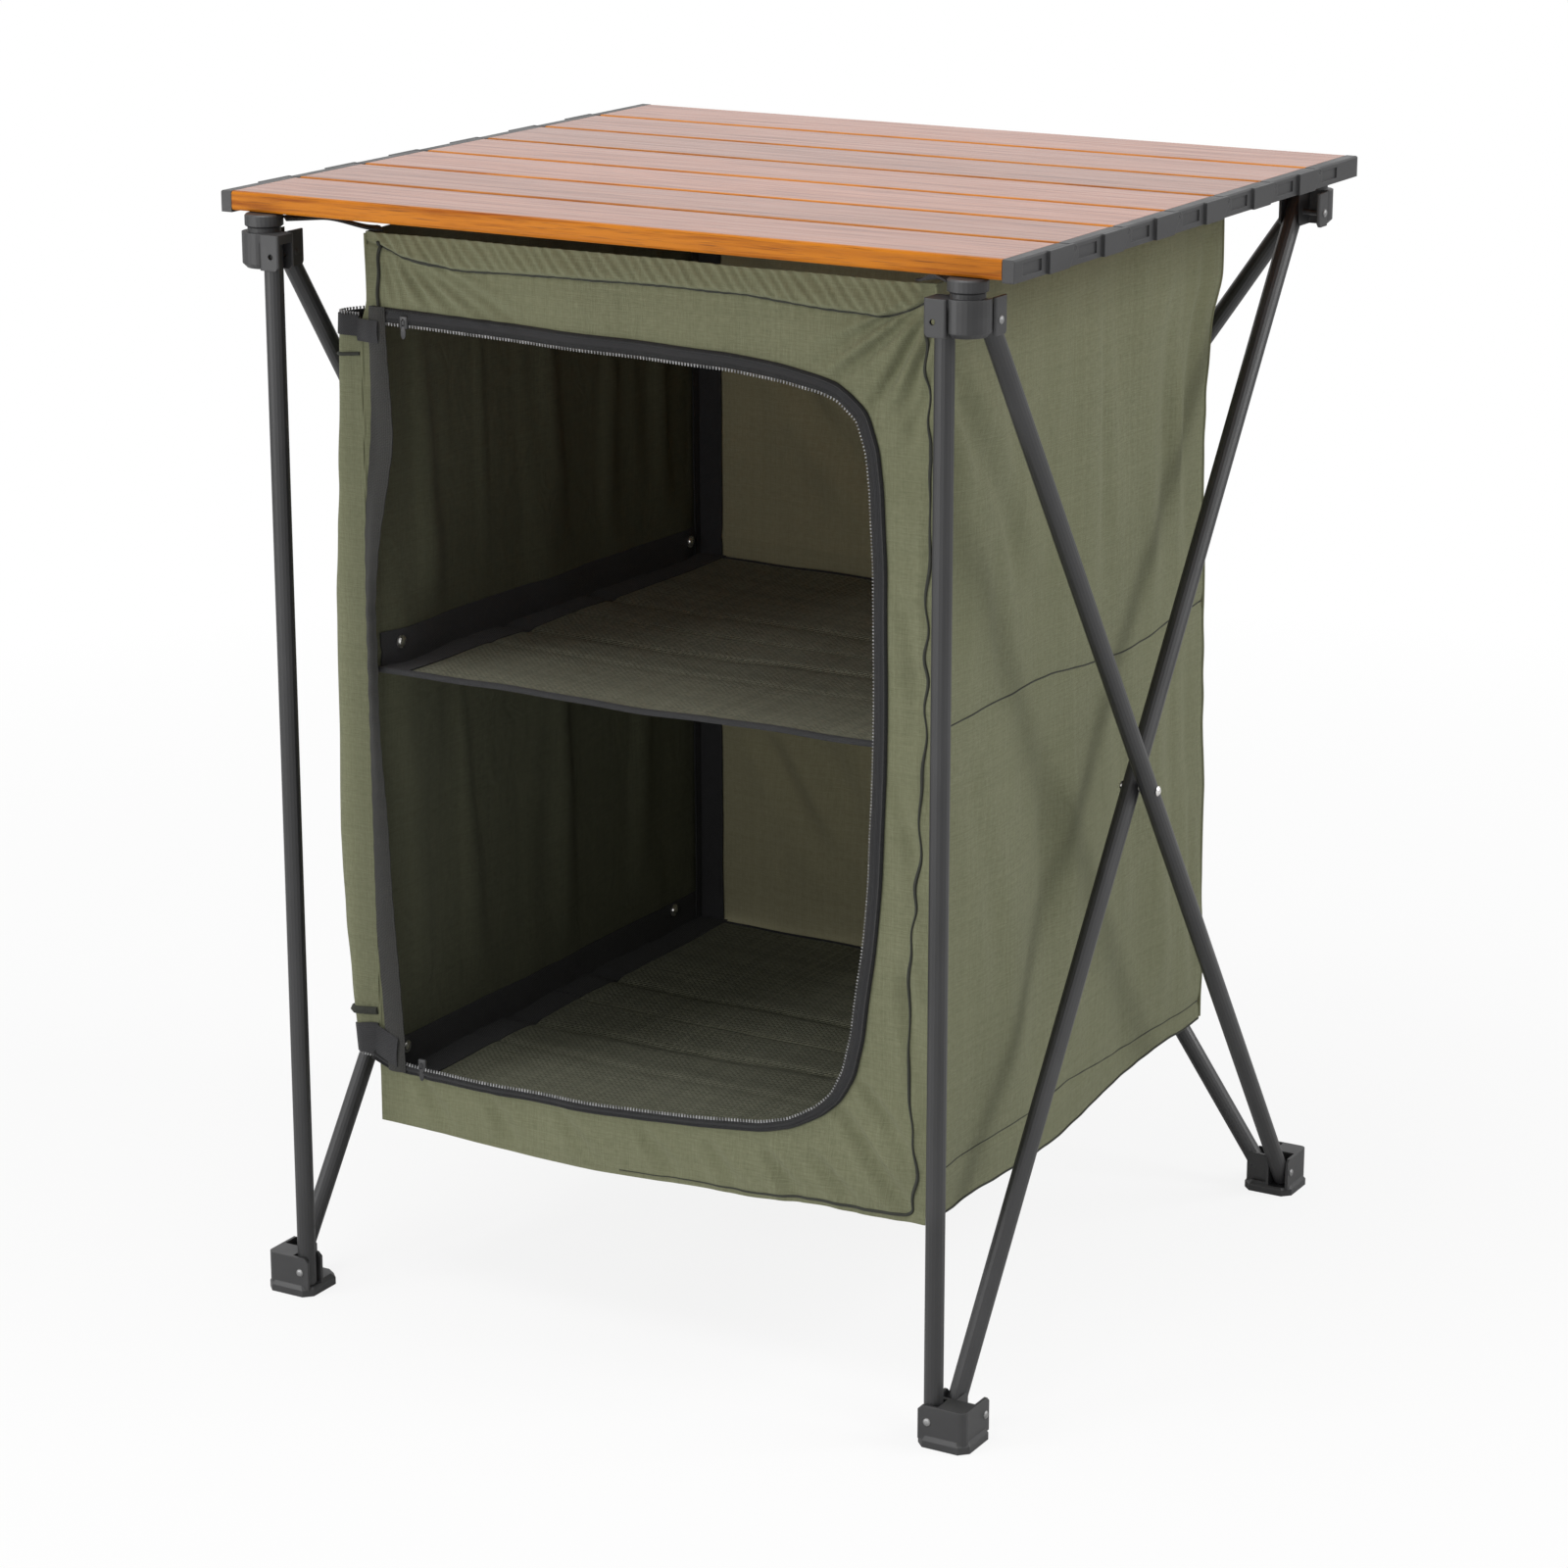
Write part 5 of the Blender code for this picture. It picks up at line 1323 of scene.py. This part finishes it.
SHELF_FORM = (0.4530, 0.0060, 0.0035)
FLOOR_FORM = (0.1520, 0.0015, 0.0025)
for node, form, rear in (
    ("shelf_rear", SHELF_FORM, True),
    ("shelf_front", SHELF_FORM, False),
    ("floor_rear", FLOOR_FORM, True),
    ("floor_front", FLOOR_FORM, False),
):
    start, end = (0.0004, BOARD_REACH) if rear else (-BOARD_REACH, -0.0004)
    fold = (node, (1, 0, 0), (CORNER, 0, form[0]))
    board = sew(
        f"{node}_cloth", (2 * BOARD_REACH, BOARD_REACH), (110, 60), board_shape(start, end, form),
        dotted, BOARD_THICKNESS, fold, node,
    )
    trims = [
        lay_tape(
            f"{node}_binding_{side}", (BOARD_REACH, BINDING_WIDTH), (60, 5),
            binding_shape(sign, start, end, form), fold, 0.0008,
        )
        for side, sign, _ in SIDES
    ]
    x = np.linspace(-BOARD_REACH + 0.001, BOARD_REACH - 0.001, 90)
    y = BOARD_BACK if rear else BOARD_FRONT
    radius = 0.0022 if node == "shelf_front" else 0.0012
    top = board_top(x, y + 0 * x, *form) - 0.5 * (radius - 0.0012)
    places = (x, y - (corner_pull(form[0], x, y) if rear else 0.0), top)
    trims.append(seam(f"{node}_piping", places, fold, radius, webbing, sides=5))


# Door: the piece cut out of the front wall, bound and zipped along three sides. It is unzipped,
# turned round the left corner and tucked back along the left wall in upright folds.
DOOR_WIDTH = 0.3985
DOOR_FOOT, DOOR_HEAD = 0.1709, 0.6985
DOOR_ROUND = 0.082
HINGE_X, HINGE_Y = -0.2203, -0.2199
STRIP = (
    (0.16, 0.2003, 0.2584, 0.3306, 0.4021, 0.4727, 0.5424, 0.6113, 0.6625, 0.70),
    (-0.2345, -0.2376, -0.2408, -0.2425, -0.2417, -0.2417, -0.2409, -0.2385, -0.2351, -0.2335),
)
TURN = (
    (0.16, 0.22, 0.27, 0.33, 0.40, 0.45, 0.50, 0.555, 0.60, 0.66, 0.70),
    (0.0055, 0.0072, 0.0105, 0.0128, 0.0110, 0.0105, 0.0100, 0.0050, 0.0042, 0.0060, 0.0065),
)


def door_place(along, z):
    """Where a point of the door lies: its reach from the hinge along the cloth, and its height."""
    low = (z - DOOR_FOOT) / (DOOR_HEAD - DOOR_FOOT)
    face = HINGE_X - smooth_line(z, *STRIP)
    round_corner = smooth_line(z, *TURN)
    arc = round_corner * math.pi / 2
    turn = np.clip((along - face) / arc, 0, 1) * math.pi / 2
    back = np.maximum(along - face - arc, 0.0)
    x = HINGE_X - np.minimum(along, face) - round_corner * np.sin(turn)
    y = HINGE_Y - 0.0006 + round_corner * (1 - np.cos(turn)) + 0.985 * back
    settle_in = smoothstep(back, 0.0, 0.042)
    tall = np.sin(np.pi * np.clip(low, 0, 1)) ** 0.5
    wave = ripple(back / 0.105 + 0.10 * low, 1) + 0.5 * ripple(back / 0.061 - 0.2 * low, 1, 1.0)
    x = x * (1 - settle_in) + (-0.2217 - 0.0010 * wave * (0.45 + 0.55 * tall)) * settle_in
    x = x - 0.0004 * soft_waves(back, z, 0.09, 31, 2.0) * settle_in
    crease = ripple(z, 0.060, 2 * np.sin(z * 23)) * bell(along - 0.018, 0.012)
    return x, y - 0.0006 * crease, z


def door_shape(u, v):
    """The door's cut: its free side has rounded corners, as the doorway has."""
    along = DOOR_WIDTH * u
    past = np.clip(along - (DOOR_WIDTH - DOOR_ROUND), 0.0, DOOR_ROUND)
    drop = (DOOR_ROUND - np.sqrt(np.maximum(DOOR_ROUND**2 - past**2, 0.0))) * 0.985
    z = DOOR_FOOT + drop + (DOOR_HEAD - DOOR_FOOT - 2 * drop) * v
    return door_place(along, z)


DOOR_FOLD = ("door", (0, 1, 0), (HINGE_X, HINGE_Y, 0.435))
door = sew(
    "door_cloth", (DOOR_WIDTH, DOOR_HEAD - DOOR_FOOT), (160, 130), door_shape, canvas,
    CANVAS_THICKNESS, DOOR_FOLD, "door_panel", offset=0.0, smooth=80.0,
)


def door_border(inset):
    """The door's three zipped sides as points of reach and height, drawn in by an inset."""
    low, high = DOOR_FOOT + inset, DOOR_HEAD - inset
    radius = DOOR_ROUND - inset
    middle = DOOR_WIDTH - DOOR_ROUND
    turns = np.linspace(-math.pi / 2, 0, 25)
    reach, height = middle + radius * np.cos(turns), low + radius + radius * np.sin(turns)
    lower = np.stack([reach, height], axis=1)
    upper = np.stack([lower[::-1, 0], low + high - lower[::-1, 1]], axis=1)
    start = np.stack([np.linspace(0.0005, middle, 122)[:-1], np.full(121, low)], axis=1)
    side = np.linspace(0, 1, 92)[1:-1, None]
    side = lower[-1] * (1 - side) + upper[0] * side
    finish = np.stack([start[::-1, 0], np.full(121, high)], axis=1)
    return np.concatenate([start, lower, side, upper, finish])


def off_door(reach, z, lift):
    """A point lifted off the door's outer face (a positive lift) or its inner one."""
    x, y, z = door_place(reach, z)
    ahead_x, ahead_y, _ = door_place(reach + 0.001, z)
    run_x, run_y = ahead_x - x, ahead_y - y
    length = np.hypot(run_x, run_y)
    return x - lift * run_y / length, y + lift * run_x / length, z


def door_tape_shape(lift):
    """Tape along the zipped sides, on the outer face of the door or on its inner one."""

    def shape(u, v):
        reach, z = between(u, v, door_border(-0.0012), door_border(0.0128))
        doubled = 0.0100 * bell(reach, 0.030) * v * (z < 0.30)
        return off_door(reach, z + doubled, lift)

    return shape


def point_at(places, reach, z, *lift):
    """One point of the door as a vector."""
    return Vector([float(c) for c in places(np.array(reach), np.array(z), *lift)])


border_length = float(np.hypot(*np.diff(door_border(0.0), axis=0).T).sum())
door_trims = [
    lay_tape(name, (border_length, 0.014), (480, 5), door_tape_shape(lift), DOOR_FOLD, 0.0009)
    for name, lift in (("door_zip_tape", 0.0012), ("door_tape_lining", -0.0010))
]
tooth_places = []
for (reach, z), (run_reach, run_z) in zip(*evenly(door_border(-0.0022), TOOTH_PITCH)):
    here = point_at(door_place, reach, z)
    along = (point_at(door_place, reach + 0.001 * run_reach, z + 0.001 * run_z) - here).normalized()
    outward = (point_at(off_door, reach, z, 0.001) - here).normalized()
    inward = along.cross(outward).normalized()
    tooth_places.append((here + outward * 0.0002, along, outward, inward))
door_trims.append(teeth_along("door_zip_teeth", tooth_places, DOOR_FOLD))
# Two dark lines by the hinge, under the door's upper tape and over its lower one: partly
# topstitching, partly painted shadow of the fold there. The lower one is drawn thick, as a dark
# band.
for name, level, rise, radius in (
    ("door_topstitch_shadow_upper", 0.6738, -0.10, 0.0014),
    ("door_topstitch_shadow_lower", 0.2030, -0.12, 0.0030),
):
    reach = np.linspace(0.001, 0.060, 60)
    places = off_door(reach, level + rise * reach, 0.0007)
    door_trims.append(seam(name, places, DOOR_FOLD, radius))


# Zip ends: the two tapes run on past the hinge and are sewn over the corner, above and below.
ZIP_END_LENGTH = 0.0185


def zip_end_shape(low, high, fall):
    """A short piece of tape from the hinge binding to the corner of the body."""

    def shape(u, v):
        x = -0.2015 - ZIP_END_LENGTH * u
        z = low + (high - low) * v - fall * (1 - u)
        return x, front_face(x, z) - (0.0042 + 0.0010 * np.sin(np.pi * v)), z

    return shape


for name, low, high, fall in (
    ("zip_end_top", 0.6835, 0.6985, 0.0),
    ("zip_end_bottom", 0.1730, 0.1935, 0.0070),
):
    size = (ZIP_END_LENGTH, high - low)
    shape = zip_end_shape(low, high, fall)
    tab = sew(name, size, (16, 10), shape, webbing, 0.0010, FRONT_FOLD)


# Zip sliders: a small cast body astride the teeth, painted black, with a short flat pull that
# hangs along the tape. They are finer and lie closer to the cloth than the CAD ones.
SLIDER_X = -0.1830


def rounded(piece, width, segments, limit=30.0):
    """Bevel a piece's edges."""
    bevel = piece.modifiers.new("round", "BEVEL")
    bevel.width, bevel.segments, bevel.angle_limit = width, segments, math.radians(limit)
    bpy.ops.object.modifier_apply(modifier="round")


for node, level in (("zip_slider_top", 0.6985), ("zip_slider_bottom", 0.1690)):
    body = primitive(
        bpy.ops.mesh.primitive_cube_add, size=1, location=(SLIDER_X, -0.2225, level)
    )
    body.scale = (0.0066, 0.0030, 0.0092)
    bpy.ops.object.transform_apply(location=False, rotation=False, scale=True)
    rounded(body, 0.0011, 3)
    crown = primitive(
        bpy.ops.mesh.primitive_torus_add, major_radius=0.0020, minor_radius=0.0004,
        major_segments=24, minor_segments=8, location=(SLIDER_X, -0.2242, level),
        rotation=(0, math.pi / 2, 0),
    )
    pull = primitive(
        bpy.ops.mesh.primitive_cylinder_add, vertices=28, radius=1, depth=1,
        location=(SLIDER_X, -0.2238, level - 0.0068), rotation=(math.pi / 2, 0, 0),
    )
    pull.scale = (0.0021, 0.0046, 0.0010)
    bpy.ops.object.transform_apply(location=False, rotation=True, scale=True)
    rounded(pull, 0.0003, 2, 50.0)
    bpy.ops.object.select_all(action="DESELECT")
    for part in (crown, pull, body):
        part.select_set(True)
    bpy.context.view_layer.objects.active = body
    bpy.ops.object.join()
    settle(body, f"{node}_cast", nylon)
    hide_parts(node)
    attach(body, node)


# Straps: black webbing from the collars of the hubs down to the top corners of the cloth body.
STRAP_SIZE = (0.063, 0.0195)
STRAP_TOP, STRAP_FOOT = 0.7680, 0.7588


def strap_shape(sign_x, sign_y):
    """A strap's place: level at the collar, then down in a soft bow to the cloth's corner."""
    run = np.array([-sign_x, -sign_y]) / math.sqrt(2)
    across = np.array([-run[1], run[0]])
    start = np.array([sign_x, sign_y]) * CORNER + run * 0.0134
    end = np.array([sign_x, sign_y]) * BODY + run * 0.0140

    def shape(u, v):
        along = start[:, None] * (1 - u) + end[:, None] * u
        x, y = along + across[:, None] * STRAP_SIZE[1] * (v - 0.5)
        fall = (STRAP_FOOT - STRAP_TOP) * smoothstep(u, 0.35, 1.0)
        return x, y, STRAP_TOP + fall + 0.0004 * np.cos(2 * np.pi * (v - 0.5))

    return shape


for corner, signs in CORNERS.items():
    sew(
        f"strap_{corner}_webbing", STRAP_SIZE, (30, 8), strap_shape(*signs), webbing,
        0.0014, (f"hub_{corner}",), f"strap_{corner}", offset=0.0, smooth=50.0,
    )


# Photographer's table: a plain white floor and backdrop with soft lamps, and the camera at the
# angle and distance that the photograph was taken from.
def make_floor():
    """White floor: a plain matt white that takes the object's soft shadow."""
    material, shader, place = start_material(
        "white_floor", (0.82, 0.82, 0.82, 1), 0.9, Specular_IOR_Level=0.0
    )
    tree = material.node_tree
    glow = tree.nodes.new("ShaderNodeEmission")
    glow.inputs["Strength"].default_value = 1.0
    seen = tree.nodes.new("ShaderNodeLightPath").outputs["Is Camera Ray"]
    reach = add("ShaderNodeVectorMath", place, out="Value", operation="LENGTH")
    share = calc("MULTIPLY", seen, remap(reach, 0.7, 2.0, 0.86, 1.0))
    matt = tree.nodes["Principled BSDF"].outputs[0]
    both = add("ShaderNodeMixShader", share, matt, glow.outputs[0], into=range(3))
    feed(both, tree.nodes["Material Output"].inputs["Surface"])
    return material


floor = primitive(
    bpy.ops.mesh.primitive_circle_add,
    vertices=96, radius=9.0, fill_type="NGON", location=(0, 0, -0.0004),
)
floor.name = floor.data.name = "studio_floor"
floor.data.materials.append(make_floor())
floor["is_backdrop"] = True

world = bpy.data.worlds.new("studio")
bpy.context.scene.world = world
world.use_nodes = True
backdrop = world.node_tree.nodes["Background"].inputs
ray = world.node_tree.nodes.new("ShaderNodeLightPath").outputs
seen = calc("MAXIMUM", ray["Is Camera Ray"], ray["Is Glossy Ray"])
seen = calc("MAXIMUM", seen, ray["Is Transmission Ray"])
feed_all(backdrop, Color=(1, 1, 1, 1), Strength=remap(seen, 0.0, 1.0, 0.36, 1.0))

for name, place, size, power in (
    ("lamp_front_left", (-1.7, -2.7, 1.10), 1.2, 41.0),
    ("lamp_front", (0.5, -3.2, 0.90), 1.2, 11.0),
    ("lamp_right", (2.3, 0.7, 1.9), 1.2, 36.0),
    ("lamp_above", (-0.3, -0.7, 3.0), 1.6, 38.0),
):
    lamp = bpy.data.lights.new(name, "AREA")
    lamp.shape = "SQUARE"
    lamp.size = size
    lamp.energy = power
    holder = bpy.data.objects.new(name, lamp)
    bpy.context.scene.collection.objects.link(holder)
    holder.location = place
    aim = Vector((0, 0, 0.42)) - Vector(place)
    holder.rotation_euler = aim.to_track_quat("-Z", "Y").to_euler()

camera = bpy.data.objects.new("camera", bpy.data.cameras.new("camera"))
bpy.context.scene.collection.objects.link(camera)
azimuth, elevation = math.radians(29.9), math.radians(16.13)
level = math.cos(elevation)
back = Vector((math.sin(azimuth) * level, -math.cos(azimuth) * level, math.sin(elevation)))
camera.location = (1.452, -2.554, 1.196)
camera.rotation_euler = (-back).to_track_quat("-Z", "Y").to_euler()
camera.data.sensor_width = 36.0
camera.data.lens = 97.85
bpy.context.scene.camera = camera
bpy.context.scene.view_settings.view_transform = "Standard"

low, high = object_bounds()
